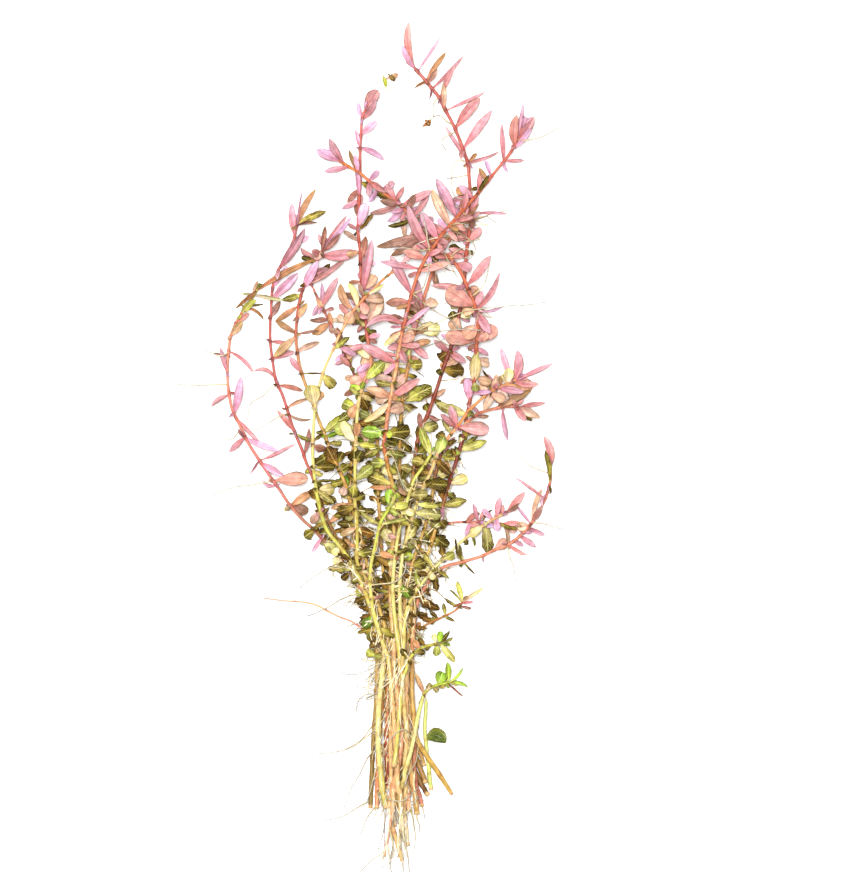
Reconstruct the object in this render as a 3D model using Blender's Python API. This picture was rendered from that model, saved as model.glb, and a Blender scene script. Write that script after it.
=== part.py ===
"""A bunch of rotala stems (aquarium plant) lying on a table, roots toward -Y.

Each stem is one solid with its leaves and its own root threads fused to it.
Routes are written in picture columns and rows and scaled by PX to real size.
"""

import math

import bmesh
import bpy
import numpy as np
from mathutils import Vector
from mathutils.bvhtree import BVHTree

MM = 0.001
PX = 0.32 * MM  # real size of one picture unit
MID_COL = 366.0  # column over the middle of the bunch
MID_ROW = 449.0  # row over the middle of the bunch

STEM_GAP = 0.5 * MM  # air kept between neighbouring stems
LEAF_GAP = 0.32 * MM  # air kept round a leaf
LEAF_THICK = 0.5 * MM
LONG_LEAF = 8.0 * MM  # a longer leaf gets one more bend
LEAF_STAGGER = 0.06  # share of a step between leaves of one node
LEAF_BASE = 0.8 * MM  # width of a leaf where it leaves the stem
FLAT_BLADE = 6.5 * PX  # width of an ordinary blade seen flat
STEP = 1.2 * MM  # spacing of the points that settle a stem
CHORD = 0.34 * MM  # how far a straight piece may cut a curved stem
SIDES = 5
SETTLE_ROUNDS = 260
SAME_SPOT = 0.002 * MM  # closer corners count as one
FOLD_REACH = (0.15 * MM, 0.4 * MM, 0.8 * MM, 1.3 * MM)  # how far a corner of a joint may move
FOLD_VIEW = 3.0 * MM  # faces this near are watched while a corner moves
FOLD_LIMIT = 0.15  # a face next to it may not turn further than this cosine
NARROWEST = 0.12 * MM * MM  # twice the area of the thinnest neck of a leaf
SLIVER = 1e-10  # square metres, a face smaller than this has no direction
THREAD_RADIUS = 0.22 * MM
THREAD_CLEAR = 0.35 * MM
THREAD_CHORD = 1.1 * MM
THREAD_LIFT = 0.45 * MM
THREAD_TRIES = 8
THREAD_START = 1.7 * MM  # a thread is clear of its stem from here on
LEAF_ORDER = (
    "b", "i", "f", "o", "m", "n", "g", "a", "l", "j", "k", "h", "o_side", "p", "r",
    "q", "u", "t", "s", "v", "x", "d", "w", "z",
)

# Colour families of the shoots: name of the material, colour, roughness.
FAMILIES = {
    "rosy": ("rosy_shoot", (0.78, 0.34, 0.29, 1.0), 0.5),
    "gold": ("gold_shoot", (0.85, 0.74, 0.32, 1.0), 0.5),
    "tan": ("tan_shoot", (0.72, 0.47, 0.25, 1.0), 0.55),
    "green": ("green_shoot", (0.62, 0.70, 0.22, 1.0), 0.5),
}

# How high a leaf of each kind may point, best guess first, in degrees.
UPWARD = (6, -6, 14, -15, 24, -24, 34, -34, 46)
BEHIND = (-10, -22, 2, -34, 12, 24, 36, 46)
TILTS = {
    "p": UPWARD,  # pink
    "l": UPWARD,  # lilac
    "o": UPWARD,  # orange and tan
    "y": (12, 22, 4, 32, -8, 42, -18, -30),  # lime
    "g": UPWARD,  # olive green
    "r": (4, 14, -8, 24, -18, 34, -30),  # broad pink
    "w": (14, 24, 6, 34, -6, 44, -18),  # cream
    "b": BEHIND,  # dusky back of a leaf
    "d": BEHIND,  # dark and wilted
}

# One stem: family, radius at top and foot in picture units, route from tip to
# foot as (column, row), heights as (row, mm above the table), and its leaves as
# (column and row at the stem, column and row at the tip, width, kind, bow).
STEMS = {
    "a": dict(
        family="rosy",
        radius=(2.3, 2.9),
        route=[
            (413, 66), (421, 75), (431, 87), (439, 97), (446, 111), (453, 124),
            (459, 138), (464, 152), (468, 163), (469, 176), (470, 189), (471, 205),
            (471, 220), (468, 240), (466, 257), (464, 285), (460, 310), (455, 332),
            (451, 347), (443, 369), (437, 388), (432, 403), (427, 416), (421, 428),
            (417, 444), (414, 470), (410, 500), (406, 540), (403, 580), (402, 610),
            (401, 650), (403, 700), (409, 750), (419, 778), (431, 793),
        ],
        heights=[(66, 3.5), (150, 4), (205, 4.5), (280, 5.5), (350, 7), (444, 5),
                 (520, 3.5), (600, 2.2), (700, 1.6), (793, 1.2)],
        leaves=[
            (413, 66, 409, 22, 7, "p", -4), (414, 67, 402, 45, 6, "l", -2),
            (418, 70, 441, 34, 3, "l", 0), (427, 78, 446, 52, 5, "o", -1),
            (430, 83, 437, 69, 5, "b", 0), (432, 87, 464, 55, 4, "p", 1),
            (439, 98, 455, 65, 5, "p", -1), (446, 109, 443, 83, 5, "o", 0),
            (448, 111, 486, 91, 4, "p", 0), (454, 127, 480, 98, 10, "p", -1),
            (464, 150, 492, 110, 8, "p", 0), (466, 163, 445, 125, 4, "l", 0),
            (469, 163, 500, 151, 4, "p", 0), (469, 162, 477, 153, 4, "o", 0),
            (469, 190, 456, 191, 9, "o", 0), (470, 190, 477, 188, 4, "d", 0),
            (472, 215, 509, 214, 3, "l", -2), (470, 243, 481, 228, 9, "p", 0),
            (462, 329, 452, 311, 9, "d", 0), (449, 352, 439, 359, 11, "d", 0),
            (446, 371, 464, 371, 12, "d", 0), (467, 252, 449, 247, 8, "d", 0),
            (417, 445, 419, 425, 5, "d", 0), (414, 470, 426, 474, 7, "g", 0),
        ],
    ),
    "b": dict(
        family="rosy",
        radius=(2.0, 3.4),
        route=[
            (523, 126), (517, 140), (512, 150), (505, 160), (495, 172), (485, 185),
            (475, 197), (465, 208), (455, 220), (448, 228), (440, 238), (430, 252),
            (424, 262), (418, 275), (413, 290), (408, 310), (403, 330), (399, 350),
            (396, 370), (393, 385), (391, 397), (388, 412), (386, 431), (384, 444),
            (388, 467), (392, 482), (395, 500), (394, 530), (392, 555), (391, 580),
            (392, 610), (396, 650), (400, 690), (402, 725), (402, 745), (399, 765),
            (396, 790), (392, 815), (389, 835), (385, 856),
        ],
        heights=[(126, 4), (200, 8.5), (245, 13), (330, 14.5), (397, 14), (444, 12),
                 (500, 9), (600, 7), (700, 7), (800, 5), (856, 1.6)],
        leaves=[
            (514, 147, 517, 115, 9, "p", -2), (519, 141, 534, 116, 7, "p", 2),
            (518, 138, 523, 102, 4, "l", 0), (513, 152, 533, 124, 5, "l", 2),
            (505, 161, 502, 123, 5, "l", 0), (506, 162, 525, 160, 4, "p", 0),
            (492, 176, 484, 160, 4, "l", 0), (488, 181, 479, 168, 5, "o", 0),
            (478, 194, 480, 170, 5, "p", 0), (480, 193, 489, 175, 4, "d", 0),
            (457, 218, 436, 179, 10, "l", 0), (449, 226, 432, 190, 9, "o", -1),
            (447, 229, 438, 219, 6, "l", 0), (438, 240, 421, 213, 10, "p", 0),
            (430, 251, 408, 206, 10, "p", -3), (417, 270, 380, 262, 6, "p", 0),
            (418, 272, 450, 263, 8, "p", 0), (411, 293, 390, 256, 9, "l", 0),
            (402, 327, 430, 307, 5, "l", 0), (399, 326, 366, 328, 7, "p", 9),
            (398, 330, 384, 346, 6, "o", 0), (396, 362, 361, 345, 10, "p", 0),
            (395, 363, 384, 375, 5, "p", 0), (392, 396, 420, 379, 9, "p", 0),
            (391, 398, 366, 389, 10, "o", 0), (389, 401, 364, 422, 7, "o", -2),
            (386, 434, 362, 431, 13, "y", 0), (387, 433, 410, 431, 14, "d", 0),
            (384, 446, 360, 458, 9, "g", 0), (391, 484, 368, 475, 12, "g", 0),
            (392, 488, 370, 487, 6, "o", 0), (391, 484, 410, 493, 9, "o", 0),
            (385, 452, 404, 456, 9, "g", 0), (394, 545, 383, 530, 12, "w", 0),
            (405, 300, 386, 303, 9, "b", 0), (391, 386, 375, 382, 6, "g", 0),
        ],
    ),
    "f": dict(
        family="rosy",
        radius=(2.0, 2.8),
        route=[
            (366, 108), (362, 118), (361, 132), (360, 150), (360, 165), (360, 180),
            (359, 205), (358, 230), (360, 250), (361, 275), (364, 300), (366, 320),
            (367, 335), (370, 350), (371, 363), (367, 375), (363, 386), (359, 402),
            (357, 421), (356, 444), (355, 480), (355, 500), (357, 525), (357, 545),
            (357, 563), (366, 580), (376, 600), (386, 630), (391, 655), (392, 700),
            (391, 745), (394, 790), (393, 815), (394, 828), (397, 840), (403, 862),
        ],
        heights=[(108, 3.5), (174, 4.5), (250, 7), (300, 8.5), (366, 11), (444, 13.5),
                 (500, 13), (545, 10), (600, 6.5), (700, 6.5), (800, 4), (862, 1.4)],
        leaves=[
            (364, 112, 378, 90, 12, "p", -1), (362, 118, 376, 99, 6, "p", 2),
            (361, 119, 358, 100, 4, "l", -1), (361, 135, 377, 121, 7, "p", 0),
            (360, 148, 355, 129, 4, "l", 0), (361, 150, 384, 160, 6, "p", -2),
            (359, 196, 356, 157, 5, "l", 0), (360, 183, 372, 187, 7, "d", 0),
            (358, 189, 347, 202, 6, "b", 0), (359, 226, 366, 203, 10, "p", 0),
            (359, 229, 374, 211, 4, "d", 2), (361, 262, 366, 236, 7, "b", 0),
            (363, 293, 372, 240, 9, "p", -1), (363, 298, 359, 284, 5, "b", 0),
            (366, 327, 355, 317, 7, "g", 0), (366, 325, 380, 297, 16, "b", 0),
            (366, 332, 376, 335, 7, "d", 0), (366, 333, 360, 341, 8, "d", 0),
            (369, 383, 384, 362, 11, "y", 0), (365, 381, 359, 366, 8, "p", 0),
            (361, 397, 350, 388, 6, "g", 0), (362, 395, 373, 401, 5, "y", 0),
            (356, 443, 343, 421, 11, "w", -2), (357, 438, 358, 423, 8, "o", 0),
            (355, 479, 373, 466, 11, "y", 0), (355, 481, 347, 473, 4, "d", 0),
            (357, 443, 380, 448, 7, "g", 0), (357, 511, 376, 512, 7, "d", 0),
            (357, 529, 374, 534, 11, "d", 0), (357, 526, 337, 523, 7, "d", 0),
            (357, 528, 340, 535, 7, "o", 0),
        ],
    ),
    "g": dict(
        family="rosy",
        radius=(2.0, 3.0),
        route=[
            (336, 158), (343, 163), (351, 168), (361, 174), (372, 184), (382, 192),
            (395, 201), (403, 208), (412, 218), (418, 225), (425, 236), (432, 246),
            (439, 252), (452, 260), (462, 275), (467, 287), (471, 296), (475, 307),
            (478, 321), (477, 340), (476, 352), (474, 381), (470, 400), (466, 420),
            (463, 437), (457, 459), (451, 477), (446, 494), (438, 520), (426, 560),
            (412, 600), (406, 640), (406, 700), (411, 745), (424, 785),
        ],
        heights=[(158, 3), (174, 8), (210, 8.5), (245, 8.5), (262, 10), (290, 11.5),
                 (340, 10), (400, 8.5), (459, 9), (500, 7.5), (600, 4.5), (700, 3.5),
                 (785, 1.8)],
        leaves=[
            (342, 163, 316, 150, 10, "l", 1), (343, 163, 329, 138, 7, "p", -1),
            (348, 167, 324, 172, 6, "l", 0), (355, 170, 349, 150, 4, "o", 0),
            (357, 172, 355, 155, 5, "p", 0), (369, 181, 379, 171, 6, "p", 0),
            (392, 199, 376, 191, 8, "d", 0), (396, 202, 386, 184, 6, "p", 0),
            (397, 202, 404, 186, 5, "b", 0), (397, 205, 380, 201, 7, "b", 0),
            (399, 206, 370, 213, 6, "g", -2), (403, 207, 432, 191, 8, "p", 0),
            (400, 208, 387, 222, 7, "l", -2), (400, 209, 405, 240, 5, "b", 0),
            (412, 218, 387, 226, 5, "d", -2), (413, 217, 429, 193, 6, "p", 1),
            (424, 236, 376, 247, 9, "b", 0), (424, 237, 391, 256, 8, "b", 0),
            (426, 239, 401, 264, 7, "p", 0), (433, 247, 437, 261, 7, "d", 0),
            (454, 262, 472, 269, 10, "p", 0), (467, 286, 491, 256, 9, "p", 1),
            (466, 290, 431, 286, 7, "b", 0), (471, 296, 479, 291, 4, "o", 0),
            (474, 307, 446, 291, 20, "r", 0), (477, 311, 490, 334, 9, "p", 0),
            (477, 310, 506, 306, 3, "l", 3), (477, 312, 500, 272, 6, "p", 4),
            (476, 342, 445, 336, 15, "r", 0), (478, 341, 497, 328, 14, "r", 0),
            (477, 344, 468, 350, 5, "b", 0), (475, 380, 478, 351, 12, "y", 0),
            (474, 380, 460, 384, 5, "b", 2), (472, 405, 468, 378, 11, "p", 0),
            (473, 391, 491, 392, 5, "l", 0), (461, 452, 487, 441, 8, "y", 0),
            (462, 447, 478, 436, 5, "g", 0), (457, 459, 443, 458, 6, "g", 0),
            (457, 457, 451, 448, 5, "d", 0), (454, 469, 438, 475, 10, "w", 0),
            (450, 479, 441, 490, 9, "d", 0), (446, 494, 455, 498, 8, "d", 0),
            (444, 503, 467, 500, 9, "g", 0), (443, 503, 441, 521, 4, "l", 0),
            (437, 524, 428, 548, 8, "d", 0), (431, 545, 446, 538, 11, "d", 0),
        ],
    ),
    "h": dict(
        family="rosy",
        radius=(2.2, 2.9),
        route=[
            (462, 222), (452, 236), (445, 246), (437, 259), (431, 275), (427, 288),
            (423, 301), (420, 313), (416, 327), (413, 338), (410, 351), (409, 362),
            (406, 377), (404, 390), (402, 403), (401, 418), (400, 440), (399, 470),
            (400, 500), (399, 540), (396, 565), (395, 600), (397, 650), (396, 700),
            (398, 750), (404, 790), (406, 810),
        ],
        heights=[(222, 4.5), (260, 5), (300, 7.5), (340, 9), (400, 9), (444, 7.5),
                 (500, 5), (600, 3.8), (700, 3.5), (810, 2)],
        leaves=[
            (463, 221, 452, 204, 6, "p", 0), (464, 220, 468, 206, 7, "p", 0),
            (460, 225, 480, 212, 6, "p", 0), (456, 230, 470, 233, 9, "p", 0),
            (459, 227, 479, 205, 4, "b", 0), (437, 260, 446, 241, 6, "d", 0),
            (420, 312, 417, 279, 9, "p", 0), (434, 270, 437, 287, 6, "b", 0),
            (415, 328, 440, 329, 14, "g", 0), (419, 316, 409, 311, 4, "d", 0),
            (407, 358, 405, 336, 10, "y", 0), (408, 365, 422, 364, 11, "g", 0),
            (405, 372, 417, 377, 5, "d", 0), (405, 370, 384, 374, 9, "d", 0),
            (403, 399, 432, 387, 14, "g", 0), (402, 402, 411, 411, 7, "g", 0),
            (402, 400, 381, 401, 8, "g", 0), (402, 403, 418, 408, 4, "d", 0),
            (400, 440, 410, 452, 8, "d", 0), (399, 468, 412, 470, 9, "g", 0),
        ],
    ),
    "i": dict(
        family="gold",
        radius=(1.7, 3.4),
        route=[
            (393, 272), (384, 279), (374, 289), (364, 299), (352, 314), (340, 335),
            (333, 351), (326, 366), (321, 381), (316, 403), (314, 425), (313, 450),
            (314, 469), (317, 492), (321, 511), (327, 529), (336, 541), (345, 552),
            (353, 564), (360, 577), (367, 595), (374, 615), (381, 634), (385, 650),
            (382, 680), (379, 710), (379, 745), (381, 765), (384, 785), (388, 808),
        ],
        heights=[(272, 9.5), (300, 13), (340, 14), (403, 13), (460, 12.5), (541, 10),
                 (575, 9), (650, 9), (700, 7), (760, 6), (808, 2.2)],
        leaves=[
            (388, 276, 406, 262, 5, "o", 0), (355, 310, 341, 284, 8, "o", -4),
            (357, 308, 348, 284, 7, "w", 3), (368, 295, 384, 285, 4, "w", 0),
            (341, 334, 330, 330, 5, "b", 0), (333, 351, 350, 337, 6, "g", 0),
            (336, 345, 357, 356, 6, "l", 0), (315, 406, 311, 385, 17, "w", 0),
            (315, 405, 323, 392, 7, "o", 0), (314, 446, 325, 450, 9, "b", 0),
            (314, 468, 335, 467, 9, "d", 0), (316, 481, 335, 480, 3, "d", 0),
            (316, 490, 334, 503, 7, "g", 0), (321, 513, 311, 523, 8, "b", 0),
            (350, 561, 337, 569, 10, "g", 0), (349, 558, 339, 551, 8, "d", 0),
            (355, 568, 327, 568, 8, "g", 0), (360, 577, 351, 582, 6, "d", 0),
            (366, 592, 357, 585, 5, "o", 0), (374, 616, 363, 627, 10, "g", 0),
        ],
    ),
    "j": dict(
        family="rosy",
        radius=(1.8, 2.6),
        route=[
            (297, 222), (294, 238), (288, 251), (282, 262), (276, 275), (272, 290),
            (271, 310), (270, 323), (270, 340), (272, 358), (276, 381), (282, 394),
            (287, 409), (292, 425), (297, 438), (302, 450), (306, 462), (310, 471),
            (316, 486), (322, 505), (330, 525), (341, 545), (353, 562), (364, 580),
            (372, 600), (379, 630), (382, 660), (381, 700), (377, 750), (376, 809),
        ],
        heights=[(222, 3), (262, 4.5), (340, 5), (425, 6), (482, 6.5), (545, 5),
                 (600, 3.5), (700, 2.6), (809, 1.2)],
        leaves=[
            (297, 221, 326, 211, 7, "g", -1), (297, 222, 316, 189, 6, "o", -2),
            (295, 236, 292, 203, 7, "l", -1), (296, 221, 303, 190, 2, "l", 0),
            (296, 223, 318, 223, 3, "b", -2), (279, 269, 305, 228, 9, "p", 1),
            (272, 300, 298, 273, 9, "p", 0), (273, 287, 287, 266, 5, "l", 0),
            (271, 317, 280, 301, 6, "b", 0), (270, 342, 289, 343, 4, "p", 0),
            (272, 360, 295, 352, 6, "p", -1), (276, 382, 253, 371, 4, "p", 6),
            (278, 386, 303, 391, 5, "b", -1), (287, 409, 308, 399, 4, "b", -2),
            (289, 411, 312, 419, 3, "b", 3), (293, 431, 277, 410, 5, "p", 0),
            (295, 434, 313, 440, 4, "g", 1), (304, 456, 309, 428, 5, "b", 1),
            (311, 473, 305, 471, 5, "g", 0), (322, 505, 336, 499, 9, "d", 0),
            (330, 523, 345, 511, 7, "o", 0), (340, 543, 327, 538, 7, "b", 0),
        ],
    ),
    "k": dict(
        family="tan",
        radius=(1.9, 2.9),
        route=[
            (325, 245), (319, 257), (312, 270), (306, 283), (302, 292), (299, 305),
            (297, 320), (296, 333), (297, 350), (301, 371), (306, 386), (312, 402),
            (318, 418), (324, 433), (328, 444), (334, 459), (339, 470), (344, 481),
            (349, 497), (354, 515), (361, 540), (366, 560), (371, 580), (378, 604),
            (386, 640), (389, 670), (389, 705), (388, 750), (391, 790),
        ],
        heights=[(245, 5.5), (300, 7), (333, 7), (386, 8), (412, 8.5), (460, 10),
                 (497, 9), (545, 7), (600, 5), (700, 5.5), (790, 3.4)],
        leaves=[
            (324, 246, 347, 215, 5, "p", 0), (326, 244, 352, 217, 5, "l", 1),
            (320, 255, 358, 251, 11, "p", 3), (322, 252, 340, 234, 6, "b", 1),
            (321, 250, 334, 229, 5, "b", 0), (317, 259, 301, 248, 6, "b", -3),
            (304, 287, 318, 261, 9, "p", 0), (306, 284, 346, 258, 6, "b", 2),
            (305, 286, 330, 263, 8, "d", 2), (316, 263, 301, 257, 6, "d", 0),
            (300, 296, 282, 300, 7, "g", 0), (299, 306, 275, 322, 6, "o", 0),
            (297, 331, 276, 321, 6, "o", 0), (297, 337, 274, 357, 8, "o", 0),
            (297, 334, 320, 331, 3, "b", 0), (297, 351, 320, 342, 6, "b", -1),
            (301, 373, 290, 357, 6, "p", 0), (299, 318, 307, 303, 6, "o", 0),
            (302, 373, 323, 373, 2, "d", 0), (325, 431, 352, 412, 11, "g", 0),
            (326, 436, 339, 432, 5, "y", 0), (328, 444, 342, 443, 6, "g", 0),
            (337, 467, 327, 447, 14, "o", 0), (336, 466, 343, 452, 8, "d", 0),
            (339, 470, 351, 464, 4, "g", 0), (350, 502, 331, 508, 6, "o", 0),
        ],
    ),
    "l": dict(
        family="rosy",
        radius=(1.8, 2.7),
        route=[
            (258, 288), (252, 297), (242, 312), (234, 326), (230, 339), (228, 354),
            (227, 371), (228, 387), (231, 406), (235, 416), (242, 430), (248, 443),
            (259, 460), (269, 475), (279, 489), (289, 504), (302, 519), (312, 528),
            (321, 537), (331, 548), (341, 560), (352, 575), (363, 592), (370, 610),
            (377, 640), (379, 670), (378, 700), (374, 750), (371, 809),
        ],
        heights=[(288, 3), (330, 3.5), (406, 4), (460, 5), (537, 5.5), (600, 4),
                 (700, 2.6), (809, 1.2)],
        leaves=[
            (258, 289, 316, 259, 6, "o", -2), (255, 296, 283, 300, 4, "w", 0),
            (254, 297, 258, 280, 4, "o", 0), (243, 312, 256, 300, 7, "y", -1),
            (236, 324, 249, 313, 5, "p", 0), (231, 338, 242, 321, 7, "o", 0),
            (247, 306, 263, 320, 3, "o", -3), (246, 308, 263, 310, 2, "g", 0),
            (227, 374, 220, 347, 5, "l", 0), (228, 354, 213, 353, 2, "b", 0),
            (229, 353, 253, 373, 4, "p", -3), (230, 397, 211, 407, 5, "p", 2),
            (230, 393, 238, 393, 3, "p", 0), (234, 414, 241, 376, 8, "l", 1),
            (236, 417, 262, 444, 4, "p", 0), (245, 437, 279, 451, 6, "p", 1),
            (246, 439, 229, 452, 6, "p", 0), (260, 461, 296, 444, 4, "p", 1),
            (262, 463, 285, 477, 7, "p", 0), (273, 482, 308, 478, 14, "r", 0),
            (274, 484, 261, 479, 4, "l", -4), (290, 505, 313, 491, 8, "o", 0),
            (292, 507, 308, 512, 10, "b", 0), (313, 530, 304, 537, 10, "g", 0),
            (321, 539, 312, 552, 4, "l", 0),
        ],
    ),
    "m": dict(
        family="gold",
        radius=(2.2, 3.2),
        route=[
            (432, 453), (423, 467), (415, 478), (411, 488), (407, 502), (402, 518),
            (398, 537), (395, 558), (393, 579), (393, 600), (397, 650), (400, 700),
            (404, 750), (409, 812),
        ],
        heights=[(453, 14.5), (500, 13), (537, 11), (600, 9), (650, 8), (700, 5.5),
                 (812, 2.4)],
        leaves=[
            (431, 454, 420, 427, 9, "y", 0), (424, 465, 420, 452, 5, "d", 0),
            (412, 487, 424, 493, 6, "g", 0), (410, 490, 400, 479, 7, "g", 0),
            (403, 516, 385, 507, 6, "g", 0), (402, 518, 414, 512, 5, "y", 0),
            (395, 555, 380, 553, 7, "o", 0), (396, 553, 408, 548, 6, "d", 0),
        ],
    ),
    "n": dict(
        family="green",
        radius=(2.2, 3.1),
        route=[
            (391, 500), (389, 508), (381, 522), (377, 537), (374, 551), (371, 565),
            (370, 581), (371, 597), (373, 610), (379, 631), (385, 648), (390, 665),
            (393, 690), (396, 725), (398, 765), (401, 800), (403, 830),
        ],
        heights=[(500, 14.5), (522, 14), (565, 11), (600, 10), (650, 9.5), (700, 8.5),
                 (765, 7), (830, 3)],
        leaves=[
            (389, 508, 390, 489, 8, "y", -1), (390, 506, 396, 492, 5, "y", 0),
            (389, 508, 408, 506, 9, "w", -1), (381, 522, 361, 511, 5, "y", -1),
            (381, 522, 409, 518, 4, "y", 0), (371, 583, 363, 590, 4, "o", 0),
            (381, 638, 369, 648, 6, "o", 0), (381, 637, 371, 634, 5, "d", 0),
            (372, 600, 383, 594, 5, "b", 0),
        ],
    ),
    "o": dict(
        family="gold",
        radius=(2.0, 3.2),
        route=[
            (518, 379), (505, 385), (490, 392), (478, 402), (468, 412), (457, 427),
            (448, 438), (438, 452), (432, 469), (424, 486), (417, 502), (412, 518),
            (407, 537), (403, 552), (400, 576), (399, 600), (400, 650), (403, 700),
            (408, 750), (413, 815),
        ],
        heights=[(379, 4.5), (392, 7), (412, 12.2), (452, 14), (502, 12), (537, 11),
                 (576, 10), (650, 7), (700, 7), (815, 2)],
        leaves=[
            (512, 382, 501, 348, 6, "l", -1), (515, 380, 517, 350, 9, "p", 3),
            (515, 381, 554, 363, 5, "l", 0), (516, 381, 539, 384, 7, "p", 2),
            (502, 386, 521, 388, 7, "o", 0), (493, 391, 497, 374, 6, "p", 0),
            (491, 391, 482, 370, 3, "d", 1), (501, 386, 499, 376, 4, "o", 0),
            (486, 396, 479, 393, 4, "b", 0), (494, 391, 484, 410, 8, "p", 0),
            (498, 389, 524, 392, 7, "l", 0), (457, 428, 450, 406, 8, "p", 0),
            (466, 414, 436, 403, 11, "g", -2), (455, 430, 440, 414, 6, "p", 0),
            (458, 427, 489, 430, 14, "r", 0), (438, 455, 444, 437, 12, "y", 0),
            (452, 434, 442, 420, 5, "g", 0), (414, 512, 441, 515, 13, "g", 0),
            (417, 503, 439, 506, 6, "y", 0), (419, 499, 432, 497, 7, "d", 0),
            (407, 539, 416, 526, 9, "g", 0), (401, 583, 410, 597, 8, "g", 0),
            (410, 524, 395, 520, 6, "g", 0),
        ],
    ),
    "o_side": dict(
        family="rosy",
        radius=(2.0, 2.3),
        route=[
            (522, 409), (511, 406), (503, 407), (493, 409), (480, 413), (470, 420),
            (464, 425),
        ],
        heights=[(405, 4.5), (409, 5), (413, 7.5), (420, 10), (425, 11.5)],
        leaves=[
            (497, 408, 531, 390, 9, "o", -1), (511, 407, 523, 398, 8, "p", 0),
            (520, 409, 546, 403, 5, "p", -1), (521, 410, 540, 418, 8, "p", 0),
            (514, 408, 526, 421, 7, "p", 0), (522, 411, 532, 421, 5, "d", 0),
            (503, 408, 508, 441, 5, "p", 1), (481, 413, 473, 408, 4, "p", 0),
            (474, 418, 489, 416, 4, "b", 0),
        ],
    ),
    "w": dict(
        family="tan",
        radius=(2.0, 2.6),
        route=[
            (354, 440), (351, 470), (350, 505), (353, 535), (360, 560), (369, 582),
            (380, 610), (387, 650), (386, 700), (390, 750), (395, 828),
        ],
        heights=[(440, 8.5), (505, 8), (560, 5), (610, 2.5), (700, 1.4), (828, 1.1)],
        leaves=[
            (352, 515, 334, 516, 6, "d", 0), (353, 532, 366, 545, 6, "g", 0),
            (352, 512, 363, 524, 6, "g", 0), (355, 548, 343, 541, 7, "o", 0),
        ],
    ),
    "x": dict(
        family="tan",
        radius=(1.5, 2.8),
        route=[
            (312, 286), (317, 297), (324, 311), (332, 327), (339, 341), (346, 356),
            (353, 372), (360, 388), (367, 402), (373, 417), (377, 437), (378, 460),
            (378, 490), (380, 520), (381, 545), (383, 570), (385, 600), (390, 650),
            (394, 700), (395, 750), (398, 800), (401, 838),
        ],
        heights=[(286, 4), (340, 6.5), (388, 6.5), (440, 5), (520, 4.5), (600, 2.8),
                 (700, 3.4), (800, 2.4), (838, 1.4)],
        leaves=[
            (316, 296, 324, 313, 6, "o", 0), (322, 306, 338, 277, 7, "p", 0),
            (323, 308, 321, 282, 5, "l", 0), (324, 311, 334, 309, 4, "b", 0),
            (350, 366, 345, 345, 9, "d", 0), (351, 368, 340, 357, 6, "p", 0),
            (360, 389, 344, 396, 6, "b", 1), (374, 418, 383, 411, 5, "d", 0),
            (377, 440, 368, 440, 5, "y", 0), (378, 462, 365, 463, 6, "d", 0),
            (378, 500, 369, 497, 5, "d", 0), (379, 498, 386, 505, 5, "d", 0),
            (381, 545, 374, 540, 8, "o", 0), (383, 560, 391, 549, 7, "b", 0),
        ],
    ),
    "p": dict(
        family="gold",
        radius=(1.8, 2.7),
        route=[
            (509, 511), (500, 516), (492, 520), (484, 525), (471, 534), (461, 542),
            (451, 551), (443, 560), (435, 567), (426, 578), (418, 588), (412, 597),
            (407, 608), (404, 622), (403, 640), (401, 660), (403, 700), (406, 745),
            (403, 800), (407, 846),
        ],
        heights=[(511, 4), (525, 6.5), (551, 8.5), (578, 9), (600, 9), (640, 9.5),
                 (700, 8.5), (745, 7), (846, 2)],
        leaves=[
            (508, 511, 525, 492, 7, "p", 0), (498, 518, 500, 497, 6, "l", 0),
            (497, 518, 497, 531, 7, "p", 0), (509, 512, 519, 503, 4, "b", 1),
            (484, 526, 469, 536, 9, "w", 0), (471, 535, 474, 547, 3, "d", 0),
            (444, 559, 454, 553, 10, "y", 0), (433, 570, 424, 553, 6, "g", 0),
            (435, 569, 449, 579, 4, "g", 0), (419, 587, 416, 573, 5, "y", 0),
            (415, 594, 440, 609, 8, "d", 2), (408, 606, 417, 616, 9, "d", 0),
            (444, 558, 441, 546, 7, "d", 0),
        ],
    ),
    "q": dict(
        family="rosy",
        radius=(1.5, 2.2),
        route=[
            (516, 525), (501, 524), (482, 522), (468, 522), (451, 523), (438, 527),
            (428, 533), (420, 545), (413, 562), (409, 585), (406, 620), (408, 660),
            (409, 700), (413, 735), (420, 768),
        ],
        heights=[(522, 2.4), (527, 3), (545, 3.6), (620, 2.6), (700, 1.4), (768, 1.2)],
        leaves=[
            (501, 524, 521, 523, 6, "p", 0), (478, 521, 473, 503, 4, "p", 0),
            (480, 521, 487, 508, 4, "p", 0), (469, 522, 480, 513, 6, "b", -1),
            (484, 522, 493, 510, 2, "d", -1), (503, 524, 507, 536, 4, "o", 0),
            (500, 525, 518, 528, 4, "d", 1), (487, 523, 488, 554, 11, "g", 0),
        ],
    ),
    "r": dict(
        family="rosy",
        radius=(1.8, 2.9),
        route=[
            (550, 466), (551, 477), (548, 491), (544, 502), (538, 514), (531, 524),
            (520, 536), (508, 545), (495, 550), (482, 556), (462, 562), (444, 567),
            (433, 575), (424, 588), (417, 602), (413, 625), (411, 650), (411, 680),
            (412, 705), (414, 730), (418, 743), (427, 757), (438, 773), (452, 795),
        ],
        heights=[(466, 2.6), (524, 3), (550, 3.2), (567, 4.5), (600, 5.5), (650, 5.5),
                 (705, 6.5), (743, 6), (770, 4), (795, 1.2)],
        leaves=[
            (550, 468, 544, 436, 8, "p", 3), (549, 484, 545, 450, 5, "d", 2),
            (545, 499, 514, 477, 3, "l", 0), (532, 522, 542, 489, 5, "b", -2),
            (533, 521, 542, 506, 6, "b", 0), (547, 493, 543, 506, 3, "l", 2),
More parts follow.
